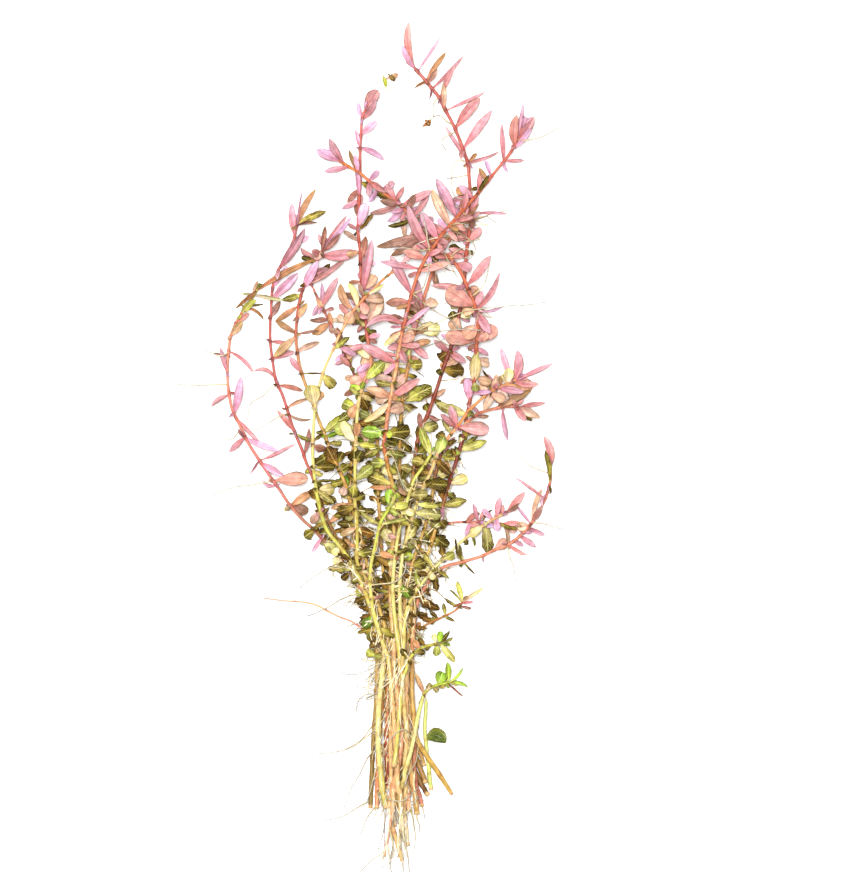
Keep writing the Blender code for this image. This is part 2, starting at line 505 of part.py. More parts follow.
            (529, 525, 517, 527, 10, "o", 0), (522, 534, 530, 529, 9, "p", 0),
            (529, 525, 517, 505, 3, "p", 0), (508, 545, 528, 555, 4, "p", 0),
            (508, 545, 505, 530, 4, "o", 1), (462, 562, 459, 544, 6, "g", -2),
            (461, 561, 455, 538, 3, "d", 0), (463, 562, 475, 574, 2, "d", 0),
            (484, 555, 484, 563, 2, "p", 0), (419, 598, 427, 607, 7, "d", 0),
        ],
    ),
    "d": dict(
        family="rosy",
        radius=(2.0, 2.7),
        route=[
            (443, 450), (438, 464), (434, 482), (432, 498), (427, 520), (419, 545),
            (411, 570), (406, 600), (404, 650), (406, 700), (411, 745), (414, 780),
            (420, 808),
        ],
        heights=[(450, 7), (498, 7), (545, 6), (600, 6), (650, 3.5), (745, 3),
                 (808, 1.3)],
        leaves=[
            (442, 452, 455, 437, 5, "p", 0), (438, 464, 451, 465, 7, "o", 0),
            (436, 474, 424, 463, 5, "b", 0), (431, 500, 423, 512, 7, "d", 0),
            (427, 520, 440, 527, 8, "g", 0), (424, 530, 432, 540, 8, "d", 0),
            (419, 545, 425, 566, 8, "d", 0), (418, 548, 409, 536, 7, "g", 0),
        ],
    ),
    "s": dict(
        family="tan",
        radius=(1.1, 1.7),
        route=[
            (464, 600), (459, 607), (453, 612), (445, 616), (434, 621), (424, 626),
            (415, 634), (409, 648), (407, 672), (407, 720),
        ],
        heights=[(600, 1.6), (616, 2), (626, 3), (640, 3), (720, 4)],
        leaves=[
            (464, 600, 457, 581, 5, "y", 0), (464, 600, 483, 588, 4, "o", -1),
            (463, 599, 449, 590, 2, "g", 0), (459, 607, 445, 598, 3, "g", -1),
            (459, 607, 472, 608, 3, "b", 0), (445, 616, 443, 603, 4, "g", 0),
            (446, 616, 455, 622, 3, "g", 0), (464, 600, 473, 598, 3, "p", 0),
            (413, 637, 422, 639, 6, "y", 0), (416, 633, 420, 622, 5, "o", 0),
        ],
    ),
    "t": dict(
        family="gold",
        radius=(1.5, 2.6),
        route=[
            (443, 644), (434, 644), (422, 647), (412, 653), (406, 662), (402, 675),
            (400, 700), (398, 730), (396, 765),
        ],
        heights=[(644, 4.5), (653, 8.5), (675, 9.5), (700, 9.5), (765, 7.5)],
        leaves=[
            (436, 644, 436, 656, 8, "g", 0), (436, 644, 434, 634, 6, "g", 0),
            (443, 644, 455, 662, 7, "w", 0), (442, 643, 441, 631, 6, "y", 0),
            (443, 644, 453, 637, 3, "g", 0), (438, 643, 450, 630, 4, "d", 1),
            (418, 648, 414, 640, 7, "o", 0), (414, 652, 425, 652, 6, "d", 0),
            (408, 659, 401, 648, 6, "d", 0),
        ],
    ),
    "u": dict(
        family="green",
        radius=(1.7, 2.9),
        route=[
            (451, 683), (441, 684), (432, 687), (425, 692), (421, 702), (417, 717),
            (413, 735), (409, 750), (404, 764), (398, 783), (393, 806),
        ],
        heights=[(683, 3.5), (692, 7), (717, 8), (764, 8), (806, 3)],
        leaves=[
            (438, 685, 443, 672, 12, "y", 0), (433, 687, 438, 692, 5, "g", 0),
            (424, 693, 415, 673, 5, "o", 0), (423, 696, 419, 705, 4, "d", 0),
            (450, 683, 447, 662, 6, "y", 1), (451, 683, 468, 688, 4, "y", -2),
            (446, 683, 440, 688, 5, "g", 0), (451, 683, 464, 697, 2, "b", 0),
            (451, 682, 463, 667, 3, "y", 2), (425, 690, 431, 683, 5, "g", 0),
        ],
    ),
    "v": dict(
        family="green",
        radius=(1.9, 2.5),
        route=[
            (426, 699), (425, 715), (424, 730), (425, 745), (426, 765), (427, 793),
        ],
        heights=[(699, 3.2), (745, 2.2), (793, 1)],
        leaves=[
            (425, 740, 446, 743, 13, "g", 0),
        ],
    ),
    "z": dict(
        family="tan",
        radius=(0.9, 1.4),
        route=[
            (260, 598), (284, 601), (300, 602), (315, 605), (325, 610), (339, 617),
            (352, 622), (364, 631), (372, 645), (378, 665), (382, 690),
        ],
        heights=[(598, 0.6), (617, 1.5), (631, 3), (690, 1.4)],
        leaves=[],
    ),
}

# Root threads: stem that bears it, radius in picture units, points from the
# stem outward as (column, row). It lies over whatever is below it.
THREADS = [
    ("b", 0.8, [(450, 228), (458, 232), (468, 239), (474, 246), (474, 253), (468, 261)]),
    ("b", 0.7, [(449, 227), (458, 224), (466, 225), (473, 232)]),
    ("b", 0.8, [(429, 252), (427, 240), (426, 228), (423, 216)]),
    ("b", 0.7, [(430, 250), (423, 251), (412, 249), (400, 248), (391, 251)]),
    ("g", 0.7, [(452, 256), (460, 249), (468, 248), (470, 255), (463, 259)]),
    ("g", 0.6, [(440, 249), (446, 257), (452, 268), (459, 280), (466, 294)]),
    ("b", 0.6, [(412, 293), (420, 292), (424, 285), (428, 276), (430, 262)]),
    ("b", 0.7, [(412, 293), (422, 302), (432, 308), (441, 315), (450, 320), (460, 331)]),
    ("b", 0.6, [(403, 327), (416, 330), (432, 325), (444, 320), (462, 312), (480, 309),
                      (505, 307), (530, 304), (548, 301)]),
    ("b", 0.6, [(404, 328), (420, 330), (440, 331), (462, 330), (482, 331)]),
    ("h", 0.5, [(409, 362), (404, 356), (409, 348), (428, 346), (446, 339)]),
    ("b", 0.7, [(396, 364), (406, 365), (415, 369), (424, 377)]),
    ("b", 0.7, [(386, 437), (396, 438), (408, 442), (414, 449), (416, 456)]),
    ("b", 0.7, [(386, 445), (398, 448), (410, 453), (424, 454)]),
    ("b", 0.6, [(387, 450), (394, 460), (399, 476), (404, 490)]),
    ("a", 0.5, [(453, 126), (445, 120), (439, 114), (430, 118), (420, 128), (416, 138)]),
    ("a", 0.5, [(456, 131), (447, 137), (442, 141), (446, 150)]),
    ("a", 0.4, [(439, 98), (434, 104), (433, 116)]),
    ("a", 0.5, [(466, 162), (458, 160), (452, 169), (451, 182), (455, 196), (466, 200)]),
    ("a", 0.5, [(468, 176), (458, 177), (446, 178)]),
    ("a", 0.5, [(471, 220), (486, 217), (497, 222)]),
    ("b", 0.5, [(519, 142), (533, 139), (548, 133), (567, 124)]),
    ("g", 0.5, [(472, 298), (484, 285), (488, 268), (492, 252)]),
    ("r", 0.5, [(550, 473), (540, 470), (528, 464), (516, 450)]),
    ("r", 0.4, [(532, 523), (546, 525), (560, 528), (566, 530)]),
    ("r", 0.5, [(508, 546), (510, 558), (514, 570), (515, 581)]),
    ("g", 0.5, [(456, 459), (462, 463), (466, 470)]),
    ("q", 0.5, [(447, 524), (446, 516), (445, 508)]),
    ("l", 0.4, [(228, 385), (215, 384), (190, 385), (164, 383)]),
    ("l", 0.4, [(273, 480), (258, 484), (236, 487), (206, 497)]),
    ("l", 0.5, [(241, 429), (232, 439), (222, 440), (210, 440)]),
    ("j", 0.5, [(274, 385), (262, 396), (250, 404), (247, 420)]),
    ("j", 0.4, [(287, 413), (276, 419), (264, 427), (252, 430)]),
    ("l", 0.4, [(229, 350), (222, 356), (212, 354), (204, 349)]),
    ("i", 0.8, [(366, 592), (352, 595), (338, 601), (325, 609), (308, 616)]),
    ("n", 0.9, [(384, 583), (391, 582), (399, 579), (405, 571), (405, 562)]),
    ("i", 0.5, [(348, 567), (330, 567), (314, 577), (300, 588)]),
    ("l", 0.5, [(367, 604), (358, 606), (350, 601), (340, 612)]),
    ("n", 0.8, [(388, 650), (380, 664), (370, 664), (371, 674), (377, 686)]),
    ("l", 0.6, [(376, 730), (366, 737), (352, 749), (330, 753), (311, 755)]),
    ("l", 0.7, [(376, 746), (369, 756), (360, 776), (350, 790), (343, 808)]),
    ("l", 0.5, [(372, 800), (358, 808), (342, 817), (325, 821)]),
    ("i", 0.6, [(386, 796), (396, 801), (408, 797), (418, 788)]),
    ("i", 0.8, [(380, 760), (372, 784), (366, 803)]),
    ("n", 0.7, [(402, 818), (409, 808), (418, 796)]),
    ("j", 0.5, [(376, 806), (366, 820), (360, 834), (355, 840)]),
    ("b", 0.9, [(390, 830), (393, 850), (391, 862), (392, 875)]),
    ("n", 0.9, [(403, 826), (405, 840), (408, 858), (409, 874)]),
    ("x", 0.6, [(401, 835), (402, 850), (403, 864), (403, 875)]),
    ("m", 0.6, [(409, 809), (414, 824), (416, 840), (413, 857)]),
    ("o", 0.6, [(413, 812), (418, 822), (421, 838)]),
    ("d", 0.5, [(420, 805), (424, 812), (425, 820)]),
    ("j", 0.5, [(377, 790), (384, 815), (382, 835), (378, 850)]),
    ("b", 0.5, [(386, 850), (379, 856), (370, 862), (360, 874)]),
    ("r", 0.6, [(419, 744), (417, 760), (409, 772), (404, 786)]),
    ("u", 0.6, [(412, 740), (404, 728), (396, 734), (388, 740)]),
]


def place(col, row, height=0.0):
    """A point of the picture, scaled to the table plane."""
    return np.array(((col - MID_COL) * PX, (MID_ROW - row) * PX, height))


def resample(points, spacing):
    """Points at an even spacing along a smooth curve through the given points."""
    pts = np.asarray(points, float)
    padded = np.vstack((2 * pts[0] - pts[1], pts, 2 * pts[-1] - pts[-2]))
    fine = []
    for k in range(len(pts) - 1):
        p0, p1, p2, p3 = padded[k:k + 4]
        for t in np.linspace(0.0, 1.0, 12, endpoint=False):
            a = 2 * p1
            b = (p2 - p0) * t
            c = (2 * p0 - 5 * p1 + 4 * p2 - p3) * t * t
            d = (3 * p1 - p0 - 3 * p2 + p3) * t ** 3
            fine.append((a + b + c + d) / 2)
    fine.append(pts[-1])
    fine = np.array(fine)
    run = np.concatenate(([0.0], np.cumsum(np.linalg.norm(np.diff(fine, axis=0), axis=1))))
    count = max(3, int(round(run[-1] / spacing)) + 1)
    stations = np.linspace(0.0, run[-1], count)
    return np.stack([np.interp(stations, run, fine[:, k]) for k in range(fine.shape[1])], axis=1)


def first_lay(stem):
    """The stem's even points at their first heights, and a radius for each."""
    rows = [row for row, _ in stem["heights"]]
    highs = [mm * MM for _, mm in stem["heights"]]
    pts = []
    for col, row in stem["route"]:
        pts.append(place(col, row, float(np.interp(row, rows, highs))))
    line = resample(pts, STEP)
    top, foot = stem["radius"]
    radius = np.linspace(top, foot, len(line)) * PX
    radius[0] *= 0.7
    line[:, 2] = np.maximum(line[:, 2], radius)
    return line, radius


def smoothed(values, owner_slices, weight):
    """Each stem's values pulled toward the mean of their neighbours."""
    out = values.copy()
    for part in owner_slices:
        block = values[part]
        padded = np.vstack((block[0], block[0], block, block[-1], block[-1]))
        mean = (padded[:-4] + padded[1:-3] + padded[3:-1] + padded[4:]) / 4
        out[part] = block + weight * (mean - block)
    return out


def settle(stems):
    """Push the stems apart until none touches another, keeping who lies on top."""
    names = list(stems)
    lines = []
    radii = []
    for name in names:
        line, radius = first_lay(stems[name])
        lines.append(line)
        radii.append(radius)
    start = np.vstack(lines)
    radius = np.concatenate(radii)
    owner = np.concatenate([np.full(len(line), k) for k, line in enumerate(lines)])
    ends = np.cumsum([len(line) for line in lines])
    slices = [slice(end - len(line), end) for end, line in zip(ends, lines)]
    first = []
    second = []
    reach = 2.0 * MM
    for k in range(len(start)):
        near = np.linalg.norm(start[k + 1:, :2] - start[k, :2], axis=1)
        hits = np.nonzero((near < radius[k] + radius[k + 1:] + reach) & (owner[k + 1:] != owner[k]))
        first.append(np.full(len(hits[0]), k))
        second.append(hits[0] + k + 1)
    first = np.concatenate(first)
    second = np.concatenate(second)
    above = np.sign(start[second, 2] - start[first, 2] + 1e-7)
    need = radius[first] + radius[second] + STEM_GAP
    pts = start.copy()
    for turn in range(SETTLE_ROUNDS):
        last = turn > SETTLE_ROUNDS - 40
        if not last:
            shift = smoothed(pts - start, slices, 0.5)
            pts = start + shift * 0.992
        delta = pts[second] - pts[first]
        gap = np.linalg.norm(delta, axis=1)
        lack = need - gap
        hit = lack > 0
        flat = delta[:, :2] / np.maximum(np.linalg.norm(delta[:, :2], axis=1), 1e-6)[:, None]
        push = np.zeros_like(delta)
        push[:, 2] = above * lack * 0.45
        push[:, :2] = flat * (lack * 0.22)[:, None]
        push[~hit] = 0.0
        move = np.zeros_like(pts)
        count = np.zeros(len(pts))
        np.add.at(move, second, push)
        np.add.at(move, first, -push)
        np.add.at(count, second, hit)
        np.add.at(count, first, hit)
        pts += move / np.maximum(count, 1.0)[:, None] * 1.5
        pts[:, 2] = np.maximum(pts[:, 2], radius)
    result = {}
    for k, name in enumerate(names):
        result[name] = (pts[slices[k]], radius[slices[k]])
    return result


def thin_out(line, tolerance):
    """Indices of the points that keep a line within the tolerance of its curve."""
    keep = {0, len(line) - 1}
    stack = [(0, len(line) - 1)]
    while stack:
        low, high = stack.pop()
        if high - low < 2:
            continue
        a = line[low]
        chord = line[high] - a
        along = np.clip((line[low:high] - a) @ chord / max(chord @ chord, 1e-18), 0, 1)
        off = np.linalg.norm(line[low:high] - a - along[:, None] * chord, axis=1)
        far = int(np.argmax(off))
        if off[far] > tolerance:
            keep.add(low + far)
            stack.append((low, low + far))
            stack.append((low + far, high))
    return sorted(keep)


def tube(line, radius, sides, twist=0.0):
    """A closed tube along a line: its corners and its faces."""
    line = np.asarray(line, float)
    count = len(line)
    verts = []
    faces = []
    forward = np.gradient(line, axis=0)
    forward /= np.maximum(np.linalg.norm(forward, axis=1), 1e-9)[:, None]
    side = np.cross(forward[0], (0.0, 0.0, 1.0))
    if np.linalg.norm(side) < 1e-3:
        side = np.array((1.0, 0.0, 0.0))
    for k in range(count):
        side = side - forward[k] * (side @ forward[k])
        side /= np.linalg.norm(side)
        up = np.cross(side, forward[k])
        for j in range(sides):
            angle = 2 * math.pi * j / sides + twist
            spoke = side * math.cos(angle) + up * math.sin(angle)
            verts.append(line[k] + spoke * radius[k])
    for k in range(count - 1):
        for j in range(sides):
            a = k * sides + j
            b = k * sides + (j + 1) % sides
            faces.append((a, b, b + sides, a + sides))
    faces.append(tuple(range(sides - 1, -1, -1)))
    last = (count - 1) * sides
    faces.append(tuple(range(last, last + sides)))
    return verts, faces


def blade_width(u, broad):
    """Share of the full width at a share u of the leaf's length."""
    rise, fall = (0.9, 0.5) if broad else (0.7, 0.95)
    top = rise / (rise + fall)
    return (u / top) ** rise * ((1 - u) / (1 - top)) ** fall


def leaf_shape(base, tip, width, bow, side_up):
    """The centre line, side vectors and edge lift that make up one leaf."""
    length = float(np.linalg.norm(tip - base))
    ahead = (tip - base) / length
    flat = np.cross(ahead, (0.0, 0.0, 1.0))
    flat /= max(float(np.linalg.norm(flat)), 1e-9)
    real = max(width, FLAT_BLADE * 0.8)
    fold = math.acos(min(1.0, max(0.35, width / real)))
    return dict(
        base=base,
        tip=tip,
        length=length,
        flat=flat,
        up=np.cross(flat, ahead),
        half=width / 2,
        lift=math.sin(fold) * real / 2 * side_up,
        bow=flat * bow,
        arch=np.array((0.0, 0.0, length * 0.07)),
        broad=width > length * 0.38,
    )


def leaf_point(shape, u):
    """The centre line of a leaf at the share u of its length."""
    hump = 4 * u * (1 - u)
    return shape["base"] * (1 - u) + shape["tip"] * u + (shape["bow"] + shape["arch"]) * hump


def leaf_solid(shape, extra=0.0):
    """A leaf as a closed three-edged solid, thicker and wider by the extra."""
    long_leaf = shape["length"] > LONG_LEAF
    stations = (0.32, 0.68) if long_leaf else (0.5,)
    sections = []
    start = 0.0 if extra == 0.0 else 0.22
    for u in (start,) + stations:
        centre = leaf_point(shape, u)
        share = blade_width(max(u, 0.02), shape["broad"])
        half = max(shape["half"] * share, LEAF_BASE / 2) + extra
        lift = shape["up"] * shape["lift"] * share
        keel = shape["up"] * (LEAF_THICK / 2 + extra) * (1 if shape["lift"] < 0 else -1)
        left = centre - shape["flat"] * half + lift - keel
        right = centre + shape["flat"] * half + lift - keel
        sections.append((left, centre + keel, right))
    ahead = (shape["tip"] - shape["base"]) / shape["length"]
    verts = [corner for section in sections for corner in section]
    verts.append(shape["tip"] + ahead * extra)
    faces = [(2, 1, 0)]
    for k in range(len(sections) - 1):
        for j in range(3):
            a = 3 * k + j
            b = 3 * k + (j + 1) % 3
            faces.append((a, b, b + 3, a + 3))
    last = 3 * (len(sections) - 1)
    for j in range(3):
        faces.append((last + j, last + (j + 1) % 3, len(verts) - 1))
    return verts, faces


class Crowd:
    """All solids placed so far, to test a new one against."""

    def __init__(self):
        self.items = []

    def add(self, owner, verts, faces):
        pts = np.array(verts)
        tree = BVHTree.FromPolygons([tuple(v) for v in verts], faces)
        self.items.append((owner, pts.min(axis=0), pts.max(axis=0), tree))

    def free(self, owner, verts, faces, own_too):
        pts = np.array(verts)
        low = pts.min(axis=0)
        high = pts.max(axis=0)
        tree = None
        for other, other_low, other_high, other_tree in self.items:
            if other == owner and not own_too:
                continue
            if other == owner + ":stem":
                continue
            if (other_low > high).any() or (other_high < low).any():
                continue
            if tree is None:
                tree = BVHTree.FromPolygons([tuple(v) for v in verts], faces)
            if tree.overlap(other_tree):
                return False
        return True

    def top(self, col_pos, row_pos, reach):
        """Height of the highest solid near a spot, or the table's."""
        high = 0.0
        for _, other_low, other_high, tree in self.items:
            if other_high[2] < high:
                continue
            if other_low[0] > col_pos + reach or other_high[0] < col_pos - reach:
                continue
            if other_low[1] > row_pos + reach or other_high[1] < row_pos - reach:
                continue
            for dx in (-reach, 0.0, reach):
                for dy in (-reach, 0.0, reach):
                    spot = Vector((col_pos + dx, row_pos + dy, 0.1))
                    found = tree.ray_cast(spot, Vector((0, 0, -1)))[0]
                    if found is not None:
                        high = max(high, found.z)
        return high


def lay_leaf(crowd, name, line, spec, number):
    """Find a pose for one leaf that touches nothing else, or give it up."""
    node_col, node_row, tip_col, tip_row, width, kind, bow = spec
    node = place(node_col, node_row)
    k = int(np.argmin(np.linalg.norm(line[:, :2] - node[:2], axis=1)))
    k = min(max(k, 1), len(line) - 2)
    stagger = (number * 7 % 11 - 5) * LEAF_STAGGER
    base = line[k] + (line[k + 1] - line[k]) * stagger
    flat_tip = place(tip_col, tip_row)
    side_up = 1 if (number * 7 + len(name)) % 3 else -1
    for swing in (0.0, 9.0, -9.0, 20.0, -20.0, 34.0, -34.0):
        for shrink in (1.0, 0.86):
            turn = math.radians(swing)
            reach = (flat_tip - base)[:2] * shrink
            dx = reach[0] * math.cos(turn) - reach[1] * math.sin(turn)
            dy = reach[0] * math.sin(turn) + reach[1] * math.cos(turn)
            span = math.hypot(dx, dy)
            for tilt in TILTS[kind]:
                rise = span * math.tan(math.radians(tilt))
                tip = base + np.array((dx, dy, rise))
                tip[2] = max(tip[2], 0.3 * MM)
                shape = leaf_shape(base, tip, width * PX, bow * PX, side_up)
                verts, faces = leaf_solid(shape)
                lowest = min(v[2] for v in verts)
                if lowest < 0.0:
                    continue
                grown, grown_faces = leaf_solid(shape, LEAF_GAP)
                if crowd.free(name, grown, grown_faces, True):
                    return shape, verts, faces
    return None


def lay_thread(crowd, line, spec):
    """A root thread draped over what is below it, or lying on the table."""
    _, width, points = spec
    radius = max(width * PX, THREAD_RADIUS)
    flat = resample([place(col, row)[:2] for col, row in points], 2.2 * MM)
    k = int(np.argmin(np.linalg.norm(line[:, :2] - flat[0], axis=1)))
    heights = []
    for x, y in flat:
        floor = crowd.top(x, y, 0.7 * MM)
        rest = radius if floor <= 0.0 else floor + radius + THREAD_CLEAR
        heights.append(rest)
    heights = np.array(heights)
    spread = np.maximum(heights, np.maximum(np.roll(heights, 1), np.roll(heights, -1)))
    spread[0] = max(heights[0], heights[1])
    spread[-1] = max(heights[-1], heights[-2])
    for _ in range(3):
        mean = (np.roll(spread, 1) + np.roll(spread, -1)) / 2
        mean[0] = spread[0]
        mean[-1] = spread[-1]
        spread = np.maximum(spread, mean * 0.9)
    pts = np.column_stack((flat, spread))
    clear = np.linalg.norm(pts[:, :2] - line[k, :2], axis=1) > THREAD_START
    pts = np.vstack((line[k], pts[clear]))
    taper = np.linspace(radius, radius * 0.45, len(pts))
    return pts, taper


def lay_all():
    """Settle the stems, then find a place for every leaf and root thread."""
    settled = settle(STEMS)
    crowd = Crowd()
    bodies = {}
    for name, (line, radius) in settled.items():
        keep = thin_out(line, CHORD)
        bodies[name] = tube(line[keep], radius[keep], SIDES, 0.3)
        crowd.add(name + ":stem", *bodies[name])
    leaves = {name: [] for name in settled}
    for name in LEAF_ORDER:
        line = settled[name][0]
        for number, spec in enumerate(STEMS[name]["leaves"]):
            found = lay_leaf(crowd, name, line, spec, number)
            if found is None:
                continue
            shape, verts, faces = found
            crowd.add(name, verts, faces)
            leaves[name].append((spec, shape, verts, faces))
    threads = {name: [] for name in settled}
    for spec in THREADS:
        name = spec[0]
        pts, taper = lay_thread(crowd, settled[name][0], spec)
        for _ in range(THREAD_TRIES):
            keep = thin_out(pts, THREAD_CHORD)
            verts, faces = tube(pts[keep], taper[keep], 3, 0.5)
            grown, grown_faces = tube(pts[keep], taper[keep] + LEAF_GAP, 4, 0.5)
            if crowd.free(name, grown, grown_faces, False):
                crowd.add(name, verts, faces)
                threads[name].append((spec, pts, taper, verts, faces))
                break
            pts[1:, 2] += THREAD_LIFT
    return settled, bodies, leaves, threads


def mesh_object(name, parts):
    """One object holding several closed solids."""
    verts = []
    faces = []
    for part_verts, part_faces in parts:
        shift = len(verts)
        verts.extend(tuple(v) for v in part_verts)
        faces.extend(tuple(k + shift for k in face) for face in part_faces)
    mesh = bpy.data.meshes.new(name)
    mesh.from_pydata(verts, [], faces)
    solid = bmesh.new()
    solid.from_mesh(mesh)
    bmesh.ops.recalc_face_normals(solid, faces=solid.faces)
    bmesh.ops.triangulate(solid, faces=solid.faces)
    solid.to_mesh(mesh)
    solid.free()
    thing = bpy.data.objects.new(name, mesh)
    bpy.context.scene.collection.objects.link(thing)
    return thing


def bake(thing):
    """Keep what the object's modifiers make of it."""
    bpy.context.view_layer.update()
    graph = bpy.context.evaluated_depsgraph_get()
    mesh = bpy.data.meshes.new_from_object(thing.evaluated_get(graph))
    thing.modifiers.clear()
    thing.data = mesh


def cross_of(a, b, c):
    """Twice the area of a triangle, as a vector along its normal."""
    return np.cross(b - a, c - a)


def folded(spots, faces, around, fresh, kept):
    """Faces that change when one corner moves onto another, or None if it spoils."""
    near_fresh = {k for f in around[fresh] for k in faces[f]} - {fresh}
    near_kept = {k for f in around[kept] for k in faces[f]} - {kept}
    if len(near_fresh & near_kept) != 2:
        return None
    changed = {}
    for f in around[fresh]:
        if kept in faces[f]:
            continue
        swapped = tuple(kept if k == fresh else k for k in faces[f])
        old = cross_of(*(spots[k] for k in faces[f]))
        new = cross_of(*(spots[k] for k in swapped))
        size = float(np.linalg.norm(old)) * float(np.linalg.norm(new))
        if size < SLIVER ** 2:
            if float(np.linalg.norm(new)) < SLIVER:
                return None
        elif float(old @ new) < FOLD_LIMIT * size:
            return None
        changed[f] = swapped
    return changed


def pinches(spots, faces, around, fresh, kept, changed):
    """Whether a leaf or thread would hang by next to nothing after the change."""

    def beside(k):
        rim = set()
        for f in around[k] | (around[fresh] if k == kept else set()):
            rim.update(changed.get(f, faces[f]))
        return rim - {fresh, k}

    rim = beside(kept)
    walls = {frozenset(changed.get(f, faces[f])) for f in around[kept] | around[fresh]}
    for u in rim:
        for w in beside(u) & rim:
            if u < w and frozenset((kept, u, w)) not in walls:
                hole = cross_of(spots[kept], spots[u], spots[w])
                if float(np.linalg.norm(hole)) < NARROWEST:
                    return True
    return False


def pierced(segments, triangles):
    """Which segment runs through which triangle."""
    start = segments[:, None, 0]
    run = segments[:, None, 1] - start
    a = triangles[None, :, 0]
    e1 = triangles[None, :, 1] - a
    e2 = triangles[None, :, 2] - a
    h = np.cross(run, e2)
    det = (e1 * h).sum(axis=2)
    safe = np.where(np.abs(det) < 1e-18, 1.0, det)
    away = start - a
    q = np.cross(away, e1)
    u = (away * h).sum(axis=2) / safe
    v = (run * q).sum(axis=2) / safe
    t = (e2 * q).sum(axis=2) / safe
    inside = (u >= 0) & (v >= 0) & (u + v <= 1) & (t >= 0) & (t <= 1)
    return inside & (np.abs(det) >= 1e-18)


def edges_of(triangles):
    """The three edges of each triangle, one after the other."""
    return np.stack((triangles, np.roll(triangles, -1, axis=1)), axis=2).reshape(-1, 2, 3)


def collides(spots, faces, around, nearby, fresh, changed):
    """Whether the changed faces would run through others close by."""
    others = {f for k in nearby for f in around[k]} - around[fresh]
    new_faces = np.array(list(changed.values()))
    old_faces = np.array([faces[f] for f in others])
    if len(new_faces) == 0 or len(old_faces) == 0:
        return False
    apart = ~(new_faces[:, None, :, None] == old_faces[None, :, None, :]).any(axis=(2, 3))
    new_tris = spots[new_faces]
    old_tris = spots[old_faces]
    one = pierced(edges_of(new_tris), old_tris).reshape(len(new_faces), 3, -1).any(axis=1)
    two = pierced(edges_of(old_tris), new_tris).reshape(len(old_faces), 3, -1).any(axis=1).T
    return bool(((one | two) & apart).any())


def tidy_joints(thing, corners):
    """Fold the corners that the union added at each joint into their neighbours."""
    spots = np.array([tuple(v.co) for v in thing.data.vertices])
    faces = {f.index: tuple(f.vertices) for f in thing.data.polygons}
    around = [set() for _ in spots]
    for f, face in faces.items():
        for k in face:
            around[k].add(f)
    held = set()
    for corner in corners:
        away = np.linalg.norm(spots - np.array(corner), axis=1)
        if away.min() < SAME_SPOT:
            held.add(int(np.argmin(away)))
    added = [k for k in range(len(spots)) if k not in held]
    for reach in FOLD_REACH:
        for fresh in added:
            if not around[fresh]:
                continue
            beside = {k for f in around[fresh] for k in faces[f]} - {fresh}
            ranked = sorted((float(np.linalg.norm(spots[k] - spots[fresh])), k) for k in beside)
            nearby = np.nonzero(np.linalg.norm(spots - spots[fresh], axis=1) < FOLD_VIEW)[0]
            for gap, kept in ranked:
                if gap > reach:
                    break
                changed = folded(spots, faces, around, fresh, kept)
                if changed is None:
                    continue
                if pinches(spots, faces, around, fresh, kept, changed):
                    continue
                if collides(spots, faces, around, nearby, fresh, changed):
                    continue
                for f in list(around[fresh]):
                    for k in faces[f]:
                        around[k].discard(f)
                    if f in changed:
                        faces[f] = changed[f]
                        for k in changed[f]:
                            around[k].add(f)
                    else:
                        del faces[f]
                break
    used = sorted({k for face in faces.values() for k in face})
    renumber = {k: n for n, k in enumerate(used)}
    mesh = bpy.data.meshes.new(thing.name)
    mesh.from_pydata(
        [tuple(spots[k]) for k in used], [],
        [tuple(renumber[k] for k in face) for face in faces.values()],
    )
    thing.data = mesh


def fuse(thing, others):
    """Grow the other solids out of the first, leaving one closed body."""
    corners = [tuple(v.co) for v in thing.data.vertices]
    corners += [tuple(v.co) for v in others.data.vertices]
    joiner = thing.modifiers.new("fused", "BOOLEAN")
    joiner.operation = "UNION"
    joiner.solver = "EXACT"
    joiner.use_self = True
    joiner.object = others
    bake(thing)
    bpy.data.objects.remove(others)
    thing.modifiers.new("three_sided", "TRIANGULATE")
    bake(thing)
    tidy_joints(thing, corners)


def family_material(key):
    """The plain colour of one family of shoots."""
    name, colour, rough = FAMILIES[key]
    found = bpy.data.materials.get(name)
    if found is None:
        found = bpy.data.materials.new(name)
        found.use_nodes = True
        shader = found.node_tree.nodes["Principled BSDF"]
        shader.inputs["Base Color"].default_value = colour
        shader.inputs["Roughness"].default_value = rough
        shader.inputs["Metallic"].default_value = 0.0
    return found


for old in list(bpy.data.objects):
    bpy.data.objects.remove(old)

SETTLED, BODIES, LEAVES, THREAD_SOLIDS = lay_all()
for stem_name, body in BODIES.items():
    shoot = mesh_object("stem_" + stem_name, [body])
    grown = [(verts, faces) for _, _, verts, faces in LEAVES[stem_name]]
    grown += [(verts, faces) for _, _, _, verts, faces in THREAD_SOLIDS[stem_name]]
    if grown:
        fuse(shoot, mesh_object("growth", grown))
    shoot.data.materials.clear()
    shoot.data.materials.append(family_material(STEMS[stem_name]["family"]))
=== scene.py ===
"""The looks of a bunch of rotala stems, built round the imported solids.

The stems are laid out here as they are in the solids: the routes, leaves and
root threads below are the same, in picture columns and rows scaled by PX.
"""

import math

import bpy
import numpy as np
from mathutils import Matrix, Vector
from mathutils.bvhtree import BVHTree


